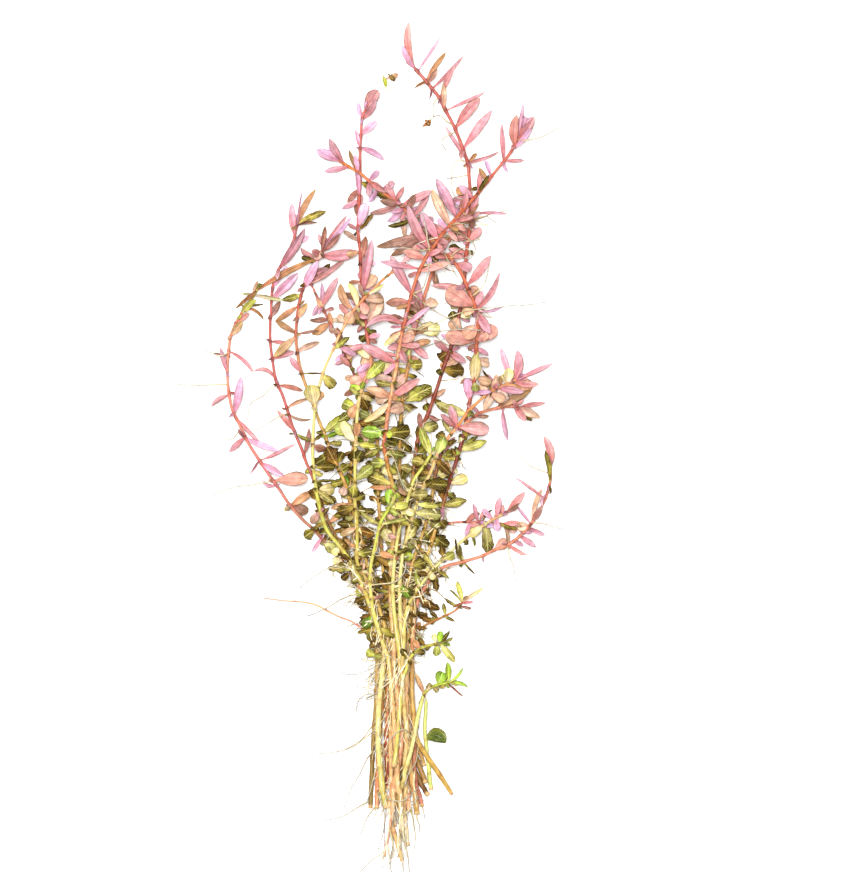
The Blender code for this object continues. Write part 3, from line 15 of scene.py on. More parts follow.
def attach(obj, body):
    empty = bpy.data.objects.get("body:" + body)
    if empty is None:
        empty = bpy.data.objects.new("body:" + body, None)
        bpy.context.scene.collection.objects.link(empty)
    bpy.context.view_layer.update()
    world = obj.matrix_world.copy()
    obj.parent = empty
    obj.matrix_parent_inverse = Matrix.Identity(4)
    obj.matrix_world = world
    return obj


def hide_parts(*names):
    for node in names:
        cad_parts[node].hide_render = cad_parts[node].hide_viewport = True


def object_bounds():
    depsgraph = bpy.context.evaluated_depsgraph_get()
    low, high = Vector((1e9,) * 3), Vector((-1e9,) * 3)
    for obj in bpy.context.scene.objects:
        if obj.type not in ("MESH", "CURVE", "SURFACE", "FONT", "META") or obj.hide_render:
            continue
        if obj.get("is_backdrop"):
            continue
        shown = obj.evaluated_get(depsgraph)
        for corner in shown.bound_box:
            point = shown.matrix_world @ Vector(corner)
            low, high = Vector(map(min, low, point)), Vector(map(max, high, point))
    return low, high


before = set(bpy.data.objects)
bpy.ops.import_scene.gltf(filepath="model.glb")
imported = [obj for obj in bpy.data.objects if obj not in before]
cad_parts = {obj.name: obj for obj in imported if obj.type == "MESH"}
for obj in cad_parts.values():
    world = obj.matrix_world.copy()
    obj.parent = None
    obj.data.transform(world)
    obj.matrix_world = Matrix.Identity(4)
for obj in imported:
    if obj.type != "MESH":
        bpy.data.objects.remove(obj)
CAD_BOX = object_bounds()

MM = 0.001
PX = 0.32 * MM  # real size of one picture unit
MID_COL = 366.0  # column over the middle of the bunch
MID_ROW = 449.0  # row over the middle of the bunch
UPRIGHT = (0.0, 0.0, 1.0)
PLUMB_FROM = 0.1  # height from which a plumb line is dropped
TINY = 1e-12

# The solid leaves.
LEAF_GAP = 0.32 * MM  # air kept round a leaf
LEAF_THICK = 0.5 * MM
LONG_LEAF = 8.0 * MM  # a longer leaf gets one more bend
LEAF_STAGGER = 0.06  # share of a step between leaves of one node
LEAF_BASE = 0.8 * MM  # width of a leaf where it leaves the stem
LOWEST_TIP = 0.3 * MM
ARCH = 0.07  # how high a leaf arches, of its length
BROAD = 0.38  # a leaf wider than this share of its length has a broad outline
SOLID_BROAD = (0.9, 0.5)  # powers that shape a broad outline
SOLID_SLIM = (0.7, 0.95)
ONE_BEND = (0.5,)
TWO_BENDS = (0.32, 0.68)
GROWN_START = 0.22  # share of a leaf left out of the test at its stalk
SWINGS = (0.0, 9.0, -9.0, 20.0, -20.0, 34.0, -34.0)  # ways to turn a leaf, in degrees
SHRINKS = (1.0, 0.86)
FLAT_BLADE = 6.5 * PX  # width of an ordinary blade seen flat
NARROWEST = 0.8  # of that width
TIGHTEST_FOLD = 0.35  # share of its width that a folded blade shows at least

# The solid stems, and how they are pushed apart.
STEM_GAP = 0.5 * MM  # air kept between neighbouring stems
STEP = 1.2 * MM  # spacing of the points that settle a stem
CURVE_SPLITS = 12  # of a curve between two of its given points
STEEP = 1e-3  # side of an all but upright line
TIP_RADIUS = 0.7  # of the radius just below the tip
CHORD = 0.34 * MM  # how far a straight piece may cut a curved stem
SIDES = 5
STEM_TWIST = 0.3  # turn of the sides of a stem, in radians
SETTLE_ROUNDS = 260
LAST_ROUNDS = 40  # of these, without pulling back to the drawn route
NEIGHBOURS = 2.0 * MM  # air within which two stems are watched
SMOOTHING = 0.5  # share of a stem's shift that is evened out each round
PULL_BACK = 0.992  # share of its shift that a stem keeps each round
PUSH_UP = 0.45  # share of the missing air that one stem rises
PUSH_ASIDE = 0.22
OVERSHOOT = 1.5

# The solid root threads.
THREAD_RADIUS = 0.22 * MM
THREAD_CLEAR = 0.35 * MM
THREAD_CHORD = 1.1 * MM
THREAD_LIFT = 0.45 * MM
THREAD_TRIES = 8
THREAD_STEP = 2.2 * MM
THREAD_REACH = 0.7 * MM  # how far round a thread the ground is felt
THREAD_EASINGS = 3
THREAD_TAPER = 0.45
THREAD_TWIST = 0.5
SAG = 0.9  # how far a hanging stretch keeps up with its neighbours
THREAD_START = 1.7 * MM  # a thread is clear of its stem from here on

# The order in which stems get their leaves.
LEAF_ORDER = (
    "b", "i", "f", "o", "m", "n", "g", "a", "l", "j", "k", "h", "o_side", "p", "r",
    "q", "u", "t", "s", "v", "x", "d", "w", "z",
)

# How high a leaf of each kind may point, best guess first, in degrees.
UPWARD = (6, -6, 14, -15, 24, -24, 34, -34, 46)
BEHIND = (-10, -22, 2, -34, 12, 24, 36, 46)
TILTS = {
    "p": UPWARD,  # pink
    "l": UPWARD,  # lilac
    "o": UPWARD,  # orange and tan
    "y": (12, 22, 4, 32, -8, 42, -18, -30),  # lime
    "g": UPWARD,  # olive green
    "r": (4, 14, -8, 24, -18, 34, -30),  # broad pink
    "w": (14, 24, 6, 34, -6, 44, -18),  # cream
    "b": BEHIND,  # dusky back of a leaf
    "d": BEHIND,  # dark and wilted
}

# One stem: family, radius at top and foot in picture units, route from tip to
# foot as (column, row), heights as (row, mm above the table), and its leaves as
# (column and row at the stem, column and row at the tip, width, kind), with a bow
# where the leaf bends to one side.
STEMS = {
    "a": dict(family="rosy", radius=(2.3, 2.9), route=[
        (413, 66), (421, 75), (431, 87), (439, 97), (446, 111), (453, 124), (459, 138), (464, 152),
        (468, 163), (469, 176), (470, 189), (471, 205), (471, 220), (468, 240), (466, 257), (464, 285),
        (460, 310), (455, 332), (451, 347), (443, 369), (437, 388), (432, 403), (427, 416), (421, 428),
        (417, 444), (414, 470), (410, 500), (406, 540), (403, 580), (402, 610), (401, 650), (403, 700),
        (409, 750), (419, 778), (431, 793),
    ], heights=[
        (66, 3.5), (150, 4), (205, 4.5), (280, 5.5), (350, 7), (444, 5), (520, 3.5), (600, 2.2),
        (700, 1.6), (793, 1.2),
    ], leaves=[
        (413, 66, 409, 22, 7, "p", -4), (414, 67, 402, 45, 6, "l", -2), (418, 70, 441, 34, 3, "l"),
        (427, 78, 446, 52, 5, "o", -1), (430, 83, 437, 69, 5, "b"), (432, 87, 464, 55, 4, "p", 1),
        (439, 98, 455, 65, 5, "p", -1), (446, 109, 443, 83, 5, "o"), (448, 111, 486, 91, 4, "p"),
        (454, 127, 480, 98, 10, "p", -1), (464, 150, 492, 110, 8, "p"), (466, 163, 445, 125, 4, "l"),
        (469, 163, 500, 151, 4, "p"), (469, 162, 477, 153, 4, "o"), (469, 190, 456, 191, 9, "o"),
        (470, 190, 477, 188, 4, "d"), (472, 215, 509, 214, 3, "l", -2), (470, 243, 481, 228, 9, "p"),
        (462, 329, 452, 311, 9, "d"), (449, 352, 439, 359, 11, "d"), (446, 371, 464, 371, 12, "d"),
        (467, 252, 449, 247, 8, "d"), (417, 445, 419, 425, 5, "d"), (414, 470, 426, 474, 7, "g"),
    ]),
    "b": dict(family="rosy", radius=(2.0, 3.4), route=[
        (523, 126), (517, 140), (512, 150), (505, 160), (495, 172), (485, 185), (475, 197), (465, 208),
        (455, 220), (448, 228), (440, 238), (430, 252), (424, 262), (418, 275), (413, 290), (408, 310),
        (403, 330), (399, 350), (396, 370), (393, 385), (391, 397), (388, 412), (386, 431), (384, 444),
        (388, 467), (392, 482), (395, 500), (394, 530), (392, 555), (391, 580), (392, 610), (396, 650),
        (400, 690), (402, 725), (402, 745), (399, 765), (396, 790), (392, 815), (389, 835), (385, 856),
    ], heights=[
        (126, 4), (200, 8.5), (245, 13), (330, 14.5), (397, 14), (444, 12), (500, 9), (600, 7), (700, 7),
        (800, 5), (856, 1.6),
    ], leaves=[
        (514, 147, 517, 115, 9, "p", -2), (519, 141, 534, 116, 7, "p", 2), (518, 138, 523, 102, 4, "l"),
        (513, 152, 533, 124, 5, "l", 2), (505, 161, 502, 123, 5, "l"), (506, 162, 525, 160, 4, "p"),
        (492, 176, 484, 160, 4, "l"), (488, 181, 479, 168, 5, "o"), (478, 194, 480, 170, 5, "p"),
        (480, 193, 489, 175, 4, "d"), (457, 218, 436, 179, 10, "l"), (449, 226, 432, 190, 9, "o", -1),
        (447, 229, 438, 219, 6, "l"), (438, 240, 421, 213, 10, "p"), (430, 251, 408, 206, 10, "p", -3),
        (417, 270, 380, 262, 6, "p"), (418, 272, 450, 263, 8, "p"), (411, 293, 390, 256, 9, "l"),
        (402, 327, 430, 307, 5, "l"), (399, 326, 366, 328, 7, "p", 9), (398, 330, 384, 346, 6, "o"),
        (396, 362, 361, 345, 10, "p"), (395, 363, 384, 375, 5, "p"), (392, 396, 420, 379, 9, "p"),
        (391, 398, 366, 389, 10, "o"), (389, 401, 364, 422, 7, "o", -2), (386, 434, 362, 431, 13, "y"),
        (387, 433, 410, 431, 14, "d"), (384, 446, 360, 458, 9, "g"), (391, 484, 368, 475, 12, "g"),
        (392, 488, 370, 487, 6, "o"), (391, 484, 410, 493, 9, "o"), (385, 452, 404, 456, 9, "g"),
        (394, 545, 383, 530, 12, "w"), (405, 300, 386, 303, 9, "b"), (391, 386, 375, 382, 6, "g"),
    ]),
    "f": dict(family="rosy", radius=(2.0, 2.8), route=[
        (366, 108), (362, 118), (361, 132), (360, 150), (360, 165), (360, 180), (359, 205), (358, 230),
        (360, 250), (361, 275), (364, 300), (366, 320), (367, 335), (370, 350), (371, 363), (367, 375),
        (363, 386), (359, 402), (357, 421), (356, 444), (355, 480), (355, 500), (357, 525), (357, 545),
        (357, 563), (366, 580), (376, 600), (386, 630), (391, 655), (392, 700), (391, 745), (394, 790),
        (393, 815), (394, 828), (397, 840), (403, 862),
    ], heights=[
        (108, 3.5), (174, 4.5), (250, 7), (300, 8.5), (366, 11), (444, 13.5), (500, 13), (545, 10),
        (600, 6.5), (700, 6.5), (800, 4), (862, 1.4),
    ], leaves=[
        (364, 112, 378, 90, 12, "p", -1), (362, 118, 376, 99, 6, "p", 2), (361, 119, 358, 100, 4, "l", -1),
        (361, 135, 377, 121, 7, "p"), (360, 148, 355, 129, 4, "l"), (361, 150, 384, 160, 6, "p", -2),
        (359, 196, 356, 157, 5, "l"), (360, 183, 372, 187, 7, "d"), (358, 189, 347, 202, 6, "b"),
        (359, 226, 366, 203, 10, "p"), (359, 229, 374, 211, 4, "d", 2), (361, 262, 366, 236, 7, "b"),
        (363, 293, 372, 240, 9, "p", -1), (363, 298, 359, 284, 5, "b"), (366, 327, 355, 317, 7, "g"),
        (366, 325, 380, 297, 16, "b"), (366, 332, 376, 335, 7, "d"), (366, 333, 360, 341, 8, "d"),
        (369, 383, 384, 362, 11, "y"), (365, 381, 359, 366, 8, "p"), (361, 397, 350, 388, 6, "g"),
        (362, 395, 373, 401, 5, "y"), (356, 443, 343, 421, 11, "w", -2), (357, 438, 358, 423, 8, "o"),
        (355, 479, 373, 466, 11, "y"), (355, 481, 347, 473, 4, "d"), (357, 443, 380, 448, 7, "g"),
        (357, 511, 376, 512, 7, "d"), (357, 529, 374, 534, 11, "d"), (357, 526, 337, 523, 7, "d"),
        (357, 528, 340, 535, 7, "o"),
    ]),
    "g": dict(family="rosy", radius=(2.0, 3.0), route=[
        (336, 158), (343, 163), (351, 168), (361, 174), (372, 184), (382, 192), (395, 201), (403, 208),
        (412, 218), (418, 225), (425, 236), (432, 246), (439, 252), (452, 260), (462, 275), (467, 287),
        (471, 296), (475, 307), (478, 321), (477, 340), (476, 352), (474, 381), (470, 400), (466, 420),
        (463, 437), (457, 459), (451, 477), (446, 494), (438, 520), (426, 560), (412, 600), (406, 640),
        (406, 700), (411, 745), (424, 785),
    ], heights=[
        (158, 3), (174, 8), (210, 8.5), (245, 8.5), (262, 10), (290, 11.5), (340, 10), (400, 8.5),
        (459, 9), (500, 7.5), (600, 4.5), (700, 3.5), (785, 1.8),
    ], leaves=[
        (342, 163, 316, 150, 10, "l", 1), (343, 163, 329, 138, 7, "p", -1), (348, 167, 324, 172, 6, "l"),
        (355, 170, 349, 150, 4, "o"), (357, 172, 355, 155, 5, "p"), (369, 181, 379, 171, 6, "p"),
        (392, 199, 376, 191, 8, "d"), (396, 202, 386, 184, 6, "p"), (397, 202, 404, 186, 5, "b"),
        (397, 205, 380, 201, 7, "b"), (399, 206, 370, 213, 6, "g", -2), (403, 207, 432, 191, 8, "p"),
        (400, 208, 387, 222, 7, "l", -2), (400, 209, 405, 240, 5, "b"), (412, 218, 387, 226, 5, "d", -2),
        (413, 217, 429, 193, 6, "p", 1), (424, 236, 376, 247, 9, "b"), (424, 237, 391, 256, 8, "b"),
        (426, 239, 401, 264, 7, "p"), (433, 247, 437, 261, 7, "d"), (454, 262, 472, 269, 10, "p"),
        (467, 286, 491, 256, 9, "p", 1), (466, 290, 431, 286, 7, "b"), (471, 296, 479, 291, 4, "o"),
        (474, 307, 446, 291, 20, "r"), (477, 311, 490, 334, 9, "p"), (477, 310, 506, 306, 3, "l", 3),
        (477, 312, 500, 272, 6, "p", 4), (476, 342, 445, 336, 15, "r"), (478, 341, 497, 328, 14, "r"),
        (477, 344, 468, 350, 5, "b"), (475, 380, 478, 351, 12, "y"), (474, 380, 460, 384, 5, "b", 2),
        (472, 405, 468, 378, 11, "p"), (473, 391, 491, 392, 5, "l"), (461, 452, 487, 441, 8, "y"),
        (462, 447, 478, 436, 5, "g"), (457, 459, 443, 458, 6, "g"), (457, 457, 451, 448, 5, "d"),
        (454, 469, 438, 475, 10, "w"), (450, 479, 441, 490, 9, "d"), (446, 494, 455, 498, 8, "d"),
        (444, 503, 467, 500, 9, "g"), (443, 503, 441, 521, 4, "l"), (437, 524, 428, 548, 8, "d"),
        (431, 545, 446, 538, 11, "d"),
    ]),
    "h": dict(family="rosy", radius=(2.2, 2.9), route=[
        (462, 222), (452, 236), (445, 246), (437, 259), (431, 275), (427, 288), (423, 301), (420, 313),
        (416, 327), (413, 338), (410, 351), (409, 362), (406, 377), (404, 390), (402, 403), (401, 418),
        (400, 440), (399, 470), (400, 500), (399, 540), (396, 565), (395, 600), (397, 650), (396, 700),
        (398, 750), (404, 790), (406, 810),
    ], heights=[
        (222, 4.5), (260, 5), (300, 7.5), (340, 9), (400, 9), (444, 7.5), (500, 5), (600, 3.8), (700, 3.5),
        (810, 2),
    ], leaves=[
        (463, 221, 452, 204, 6, "p"), (464, 220, 468, 206, 7, "p"), (460, 225, 480, 212, 6, "p"),
        (456, 230, 470, 233, 9, "p"), (459, 227, 479, 205, 4, "b"), (437, 260, 446, 241, 6, "d"),
        (420, 312, 417, 279, 9, "p"), (434, 270, 437, 287, 6, "b"), (415, 328, 440, 329, 14, "g"),
        (419, 316, 409, 311, 4, "d"), (407, 358, 405, 336, 10, "y"), (408, 365, 422, 364, 11, "g"),
        (405, 372, 417, 377, 5, "d"), (405, 370, 384, 374, 9, "d"), (403, 399, 432, 387, 14, "g"),
        (402, 402, 411, 411, 7, "g"), (402, 400, 381, 401, 8, "g"), (402, 403, 418, 408, 4, "d"),
        (400, 440, 410, 452, 8, "d"), (399, 468, 412, 470, 9, "g"),
    ]),
    "i": dict(family="gold", radius=(1.7, 3.4), route=[
        (393, 272), (384, 279), (374, 289), (364, 299), (352, 314), (340, 335), (333, 351), (326, 366),
        (321, 381), (316, 403), (314, 425), (313, 450), (314, 469), (317, 492), (321, 511), (327, 529),
        (336, 541), (345, 552), (353, 564), (360, 577), (367, 595), (374, 615), (381, 634), (385, 650),
        (382, 680), (379, 710), (379, 745), (381, 765), (384, 785), (388, 808),
    ], heights=[
        (272, 9.5), (300, 13), (340, 14), (403, 13), (460, 12.5), (541, 10), (575, 9), (650, 9), (700, 7),
        (760, 6), (808, 2.2),
    ], leaves=[
        (388, 276, 406, 262, 5, "o"), (355, 310, 341, 284, 8, "o", -4), (357, 308, 348, 284, 7, "w", 3),
        (368, 295, 384, 285, 4, "w"), (341, 334, 330, 330, 5, "b"), (333, 351, 350, 337, 6, "g"),
        (336, 345, 357, 356, 6, "l"), (315, 406, 311, 385, 17, "w"), (315, 405, 323, 392, 7, "o"),
        (314, 446, 325, 450, 9, "b"), (314, 468, 335, 467, 9, "d"), (316, 481, 335, 480, 3, "d"),
        (316, 490, 334, 503, 7, "g"), (321, 513, 311, 523, 8, "b"), (350, 561, 337, 569, 10, "g"),
        (349, 558, 339, 551, 8, "d"), (355, 568, 327, 568, 8, "g"), (360, 577, 351, 582, 6, "d"),
        (366, 592, 357, 585, 5, "o"), (374, 616, 363, 627, 10, "g"),
    ]),
    "j": dict(family="rosy", radius=(1.8, 2.6), route=[
        (297, 222), (294, 238), (288, 251), (282, 262), (276, 275), (272, 290), (271, 310), (270, 323),
        (270, 340), (272, 358), (276, 381), (282, 394), (287, 409), (292, 425), (297, 438), (302, 450),
        (306, 462), (310, 471), (316, 486), (322, 505), (330, 525), (341, 545), (353, 562), (364, 580),
        (372, 600), (379, 630), (382, 660), (381, 700), (377, 750), (376, 809),
    ], heights=[
        (222, 3), (262, 4.5), (340, 5), (425, 6), (482, 6.5), (545, 5), (600, 3.5), (700, 2.6), (809, 1.2),
    ], leaves=[
        (297, 221, 326, 211, 7, "g", -1), (297, 222, 316, 189, 6, "o", -2),
        (295, 236, 292, 203, 7, "l", -1), (296, 221, 303, 190, 2, "l"), (296, 223, 318, 223, 3, "b", -2),
        (279, 269, 305, 228, 9, "p", 1), (272, 300, 298, 273, 9, "p"), (273, 287, 287, 266, 5, "l"),
        (271, 317, 280, 301, 6, "b"), (270, 342, 289, 343, 4, "p"), (272, 360, 295, 352, 6, "p", -1),
        (276, 382, 253, 371, 4, "p", 6), (278, 386, 303, 391, 5, "b", -1),
        (287, 409, 308, 399, 4, "b", -2), (289, 411, 312, 419, 3, "b", 3), (293, 431, 277, 410, 5, "p"),
        (295, 434, 313, 440, 4, "g", 1), (304, 456, 309, 428, 5, "b", 1), (311, 473, 305, 471, 5, "g"),
        (322, 505, 336, 499, 9, "d"), (330, 523, 345, 511, 7, "o"), (340, 543, 327, 538, 7, "b"),
    ]),
    "k": dict(family="tan", radius=(1.9, 2.9), route=[
        (325, 245), (319, 257), (312, 270), (306, 283), (302, 292), (299, 305), (297, 320), (296, 333),
        (297, 350), (301, 371), (306, 386), (312, 402), (318, 418), (324, 433), (328, 444), (334, 459),
        (339, 470), (344, 481), (349, 497), (354, 515), (361, 540), (366, 560), (371, 580), (378, 604),
        (386, 640), (389, 670), (389, 705), (388, 750), (391, 790),
    ], heights=[
        (245, 5.5), (300, 7), (333, 7), (386, 8), (412, 8.5), (460, 10), (497, 9), (545, 7), (600, 5),
        (700, 5.5), (790, 3.4),
    ], leaves=[
        (324, 246, 347, 215, 5, "p"), (326, 244, 352, 217, 5, "l", 1), (320, 255, 358, 251, 11, "p", 3),
        (322, 252, 340, 234, 6, "b", 1), (321, 250, 334, 229, 5, "b"), (317, 259, 301, 248, 6, "b", -3),
        (304, 287, 318, 261, 9, "p"), (306, 284, 346, 258, 6, "b", 2), (305, 286, 330, 263, 8, "d", 2),
        (316, 263, 301, 257, 6, "d"), (300, 296, 282, 300, 7, "g"), (299, 306, 275, 322, 6, "o"),
        (297, 331, 276, 321, 6, "o"), (297, 337, 274, 357, 8, "o"), (297, 334, 320, 331, 3, "b"),
        (297, 351, 320, 342, 6, "b", -1), (301, 373, 290, 357, 6, "p"), (299, 318, 307, 303, 6, "o"),
        (302, 373, 323, 373, 2, "d"), (325, 431, 352, 412, 11, "g"), (326, 436, 339, 432, 5, "y"),
        (328, 444, 342, 443, 6, "g"), (337, 467, 327, 447, 14, "o"), (336, 466, 343, 452, 8, "d"),
        (339, 470, 351, 464, 4, "g"), (350, 502, 331, 508, 6, "o"),
    ]),
    "l": dict(family="rosy", radius=(1.8, 2.7), route=[
        (258, 288), (252, 297), (242, 312), (234, 326), (230, 339), (228, 354), (227, 371), (228, 387),
        (231, 406), (235, 416), (242, 430), (248, 443), (259, 460), (269, 475), (279, 489), (289, 504),
        (302, 519), (312, 528), (321, 537), (331, 548), (341, 560), (352, 575), (363, 592), (370, 610),
        (377, 640), (379, 670), (378, 700), (374, 750), (371, 809),
    ], heights=[
        (288, 3), (330, 3.5), (406, 4), (460, 5), (537, 5.5), (600, 4), (700, 2.6), (809, 1.2),
    ], leaves=[
        (258, 289, 316, 259, 6, "o", -2), (255, 296, 283, 300, 4, "w"), (254, 297, 258, 280, 4, "o"),
        (243, 312, 256, 300, 7, "y", -1), (236, 324, 249, 313, 5, "p"), (231, 338, 242, 321, 7, "o"),
        (247, 306, 263, 320, 3, "o", -3), (246, 308, 263, 310, 2, "g"), (227, 374, 220, 347, 5, "l"),
        (228, 354, 213, 353, 2, "b"), (229, 353, 253, 373, 4, "p", -3), (230, 397, 211, 407, 5, "p", 2),
        (230, 393, 238, 393, 3, "p"), (234, 414, 241, 376, 8, "l", 1), (236, 417, 262, 444, 4, "p"),
        (245, 437, 279, 451, 6, "p", 1), (246, 439, 229, 452, 6, "p"), (260, 461, 296, 444, 4, "p", 1),
        (262, 463, 285, 477, 7, "p"), (273, 482, 308, 478, 14, "r"), (274, 484, 261, 479, 4, "l", -4),
        (290, 505, 313, 491, 8, "o"), (292, 507, 308, 512, 10, "b"), (313, 530, 304, 537, 10, "g"),
        (321, 539, 312, 552, 4, "l"),
    ]),
    "m": dict(family="gold", radius=(2.2, 3.2), route=[
        (432, 453), (423, 467), (415, 478), (411, 488), (407, 502), (402, 518), (398, 537), (395, 558),
        (393, 579), (393, 600), (397, 650), (400, 700), (404, 750), (409, 812),
    ], heights=[
        (453, 14.5), (500, 13), (537, 11), (600, 9), (650, 8), (700, 5.5), (812, 2.4),
    ], leaves=[
        (431, 454, 420, 427, 9, "y"), (424, 465, 420, 452, 5, "d"), (412, 487, 424, 493, 6, "g"),
        (410, 490, 400, 479, 7, "g"), (403, 516, 385, 507, 6, "g"), (402, 518, 414, 512, 5, "y"),
        (395, 555, 380, 553, 7, "o"), (396, 553, 408, 548, 6, "d"),
    ]),
    "n": dict(family="green", radius=(2.2, 3.1), route=[
        (391, 500), (389, 508), (381, 522), (377, 537), (374, 551), (371, 565), (370, 581), (371, 597),
        (373, 610), (379, 631), (385, 648), (390, 665), (393, 690), (396, 725), (398, 765), (401, 800),
        (403, 830),
    ], heights=[
        (500, 14.5), (522, 14), (565, 11), (600, 10), (650, 9.5), (700, 8.5), (765, 7), (830, 3),
    ], leaves=[
        (389, 508, 390, 489, 8, "y", -1), (390, 506, 396, 492, 5, "y"), (389, 508, 408, 506, 9, "w", -1),
        (381, 522, 361, 511, 5, "y", -1), (381, 522, 409, 518, 4, "y"), (371, 583, 363, 590, 4, "o"),
        (381, 638, 369, 648, 6, "o"), (381, 637, 371, 634, 5, "d"), (372, 600, 383, 594, 5, "b"),
    ]),
    "o": dict(family="gold", radius=(2.0, 3.2), route=[
        (518, 379), (505, 385), (490, 392), (478, 402), (468, 412), (457, 427), (448, 438), (438, 452),
        (432, 469), (424, 486), (417, 502), (412, 518), (407, 537), (403, 552), (400, 576), (399, 600),
        (400, 650), (403, 700), (408, 750), (413, 815),
    ], heights=[
        (379, 4.5), (392, 7), (412, 12.2), (452, 14), (502, 12), (537, 11), (576, 10), (650, 7), (700, 7),
        (815, 2),
    ], leaves=[
        (512, 382, 501, 348, 6, "l", -1), (515, 380, 517, 350, 9, "p", 3), (515, 381, 554, 363, 5, "l"),
        (516, 381, 539, 384, 7, "p", 2), (502, 386, 521, 388, 7, "o"), (493, 391, 497, 374, 6, "p"),
        (491, 391, 482, 370, 3, "d", 1), (501, 386, 499, 376, 4, "o"), (486, 396, 479, 393, 4, "b"),
        (494, 391, 484, 410, 8, "p"), (498, 389, 524, 392, 7, "l"), (457, 428, 450, 406, 8, "p"),
        (466, 414, 436, 403, 11, "g", -2), (455, 430, 440, 414, 6, "p"), (458, 427, 489, 430, 14, "r"),
        (438, 455, 444, 437, 12, "y"), (452, 434, 442, 420, 5, "g"), (414, 512, 441, 515, 13, "g"),
        (417, 503, 439, 506, 6, "y"), (419, 499, 432, 497, 7, "d"), (407, 539, 416, 526, 9, "g"),
        (401, 583, 410, 597, 8, "g"), (410, 524, 395, 520, 6, "g"),
    ]),
    "o_side": dict(family="rosy", radius=(2.0, 2.3), route=[
        (522, 409), (511, 406), (503, 407), (493, 409), (480, 413), (470, 420), (464, 425),
    ], heights=[
        (405, 4.5), (409, 5), (413, 7.5), (420, 10), (425, 11.5),
    ], leaves=[
        (497, 408, 531, 390, 9, "o", -1), (511, 407, 523, 398, 8, "p"), (520, 409, 546, 403, 5, "p", -1),
        (521, 410, 540, 418, 8, "p"), (514, 408, 526, 421, 7, "p"), (522, 411, 532, 421, 5, "d"),
        (503, 408, 508, 441, 5, "p", 1), (481, 413, 473, 408, 4, "p"), (474, 418, 489, 416, 4, "b"),
    ]),
    "w": dict(family="tan", radius=(2.0, 2.6), route=[
        (354, 440), (351, 470), (350, 505), (353, 535), (360, 560), (369, 582), (380, 610), (387, 650),
        (386, 700), (390, 750), (395, 828),
    ], heights=[
        (440, 8.5), (505, 8), (560, 5), (610, 2.5), (700, 1.4), (828, 1.1),
    ], leaves=[
        (352, 515, 334, 516, 6, "d"), (353, 532, 366, 545, 6, "g"), (352, 512, 363, 524, 6, "g"),
        (355, 548, 343, 541, 7, "o"),
    ]),
    "x": dict(family="tan", radius=(1.5, 2.8), route=[
        (312, 286), (317, 297), (324, 311), (332, 327), (339, 341), (346, 356), (353, 372), (360, 388),
        (367, 402), (373, 417), (377, 437), (378, 460), (378, 490), (380, 520), (381, 545), (383, 570),
        (385, 600), (390, 650), (394, 700), (395, 750), (398, 800), (401, 838),
    ], heights=[
        (286, 4), (340, 6.5), (388, 6.5), (440, 5), (520, 4.5), (600, 2.8), (700, 3.4), (800, 2.4),
        (838, 1.4),
    ], leaves=[
        (316, 296, 324, 313, 6, "o"), (322, 306, 338, 277, 7, "p"), (323, 308, 321, 282, 5, "l"),
        (324, 311, 334, 309, 4, "b"), (350, 366, 345, 345, 9, "d"), (351, 368, 340, 357, 6, "p"),
        (360, 389, 344, 396, 6, "b", 1), (374, 418, 383, 411, 5, "d"), (377, 440, 368, 440, 5, "y"),
        (378, 462, 365, 463, 6, "d"), (378, 500, 369, 497, 5, "d"), (379, 498, 386, 505, 5, "d"),
        (381, 545, 374, 540, 8, "o"), (383, 560, 391, 549, 7, "b"),
    ]),
    "p": dict(family="gold", radius=(1.8, 2.7), route=[
        (509, 511), (500, 516), (492, 520), (484, 525), (471, 534), (461, 542), (451, 551), (443, 560),
        (435, 567), (426, 578), (418, 588), (412, 597), (407, 608), (404, 622), (403, 640), (401, 660),
        (403, 700), (406, 745), (403, 800), (407, 846),
    ], heights=[
        (511, 4), (525, 6.5), (551, 8.5), (578, 9), (600, 9), (640, 9.5), (700, 8.5), (745, 7), (846, 2),
    ], leaves=[
        (508, 511, 525, 492, 7, "p"), (498, 518, 500, 497, 6, "l"), (497, 518, 497, 531, 7, "p"),
        (509, 512, 519, 503, 4, "b", 1), (484, 526, 469, 536, 9, "w"), (471, 535, 474, 547, 3, "d"),
        (444, 559, 454, 553, 10, "y"), (433, 570, 424, 553, 6, "g"), (435, 569, 449, 579, 4, "g"),
        (419, 587, 416, 573, 5, "y"), (415, 594, 440, 609, 8, "d", 2), (408, 606, 417, 616, 9, "d"),
        (444, 558, 441, 546, 7, "d"),
    ]),
    "q": dict(family="rosy", radius=(1.5, 2.2), route=[
        (516, 525), (501, 524), (482, 522), (468, 522), (451, 523), (438, 527), (428, 533), (420, 545),
        (413, 562), (409, 585), (406, 620), (408, 660), (409, 700), (413, 735), (420, 768),
    ], heights=[
        (522, 2.4), (527, 3), (545, 3.6), (620, 2.6), (700, 1.4), (768, 1.2),
    ], leaves=[
        (501, 524, 521, 523, 6, "p"), (478, 521, 473, 503, 4, "p"), (480, 521, 487, 508, 4, "p"),
        (469, 522, 480, 513, 6, "b", -1), (484, 522, 493, 510, 2, "d", -1), (503, 524, 507, 536, 4, "o"),
        (500, 525, 518, 528, 4, "d", 1), (487, 523, 488, 554, 11, "g"),
    ]),
    "r": dict(family="rosy", radius=(1.8, 2.9), route=[
        (550, 466), (551, 477), (548, 491), (544, 502), (538, 514), (531, 524), (520, 536), (508, 545),
        (495, 550), (482, 556), (462, 562), (444, 567), (433, 575), (424, 588), (417, 602), (413, 625),
        (411, 650), (411, 680), (412, 705), (414, 730), (418, 743), (427, 757), (438, 773), (452, 795),
    ], heights=[
        (466, 2.6), (524, 3), (550, 3.2), (567, 4.5), (600, 5.5), (650, 5.5), (705, 6.5), (743, 6),
        (770, 4), (795, 1.2),
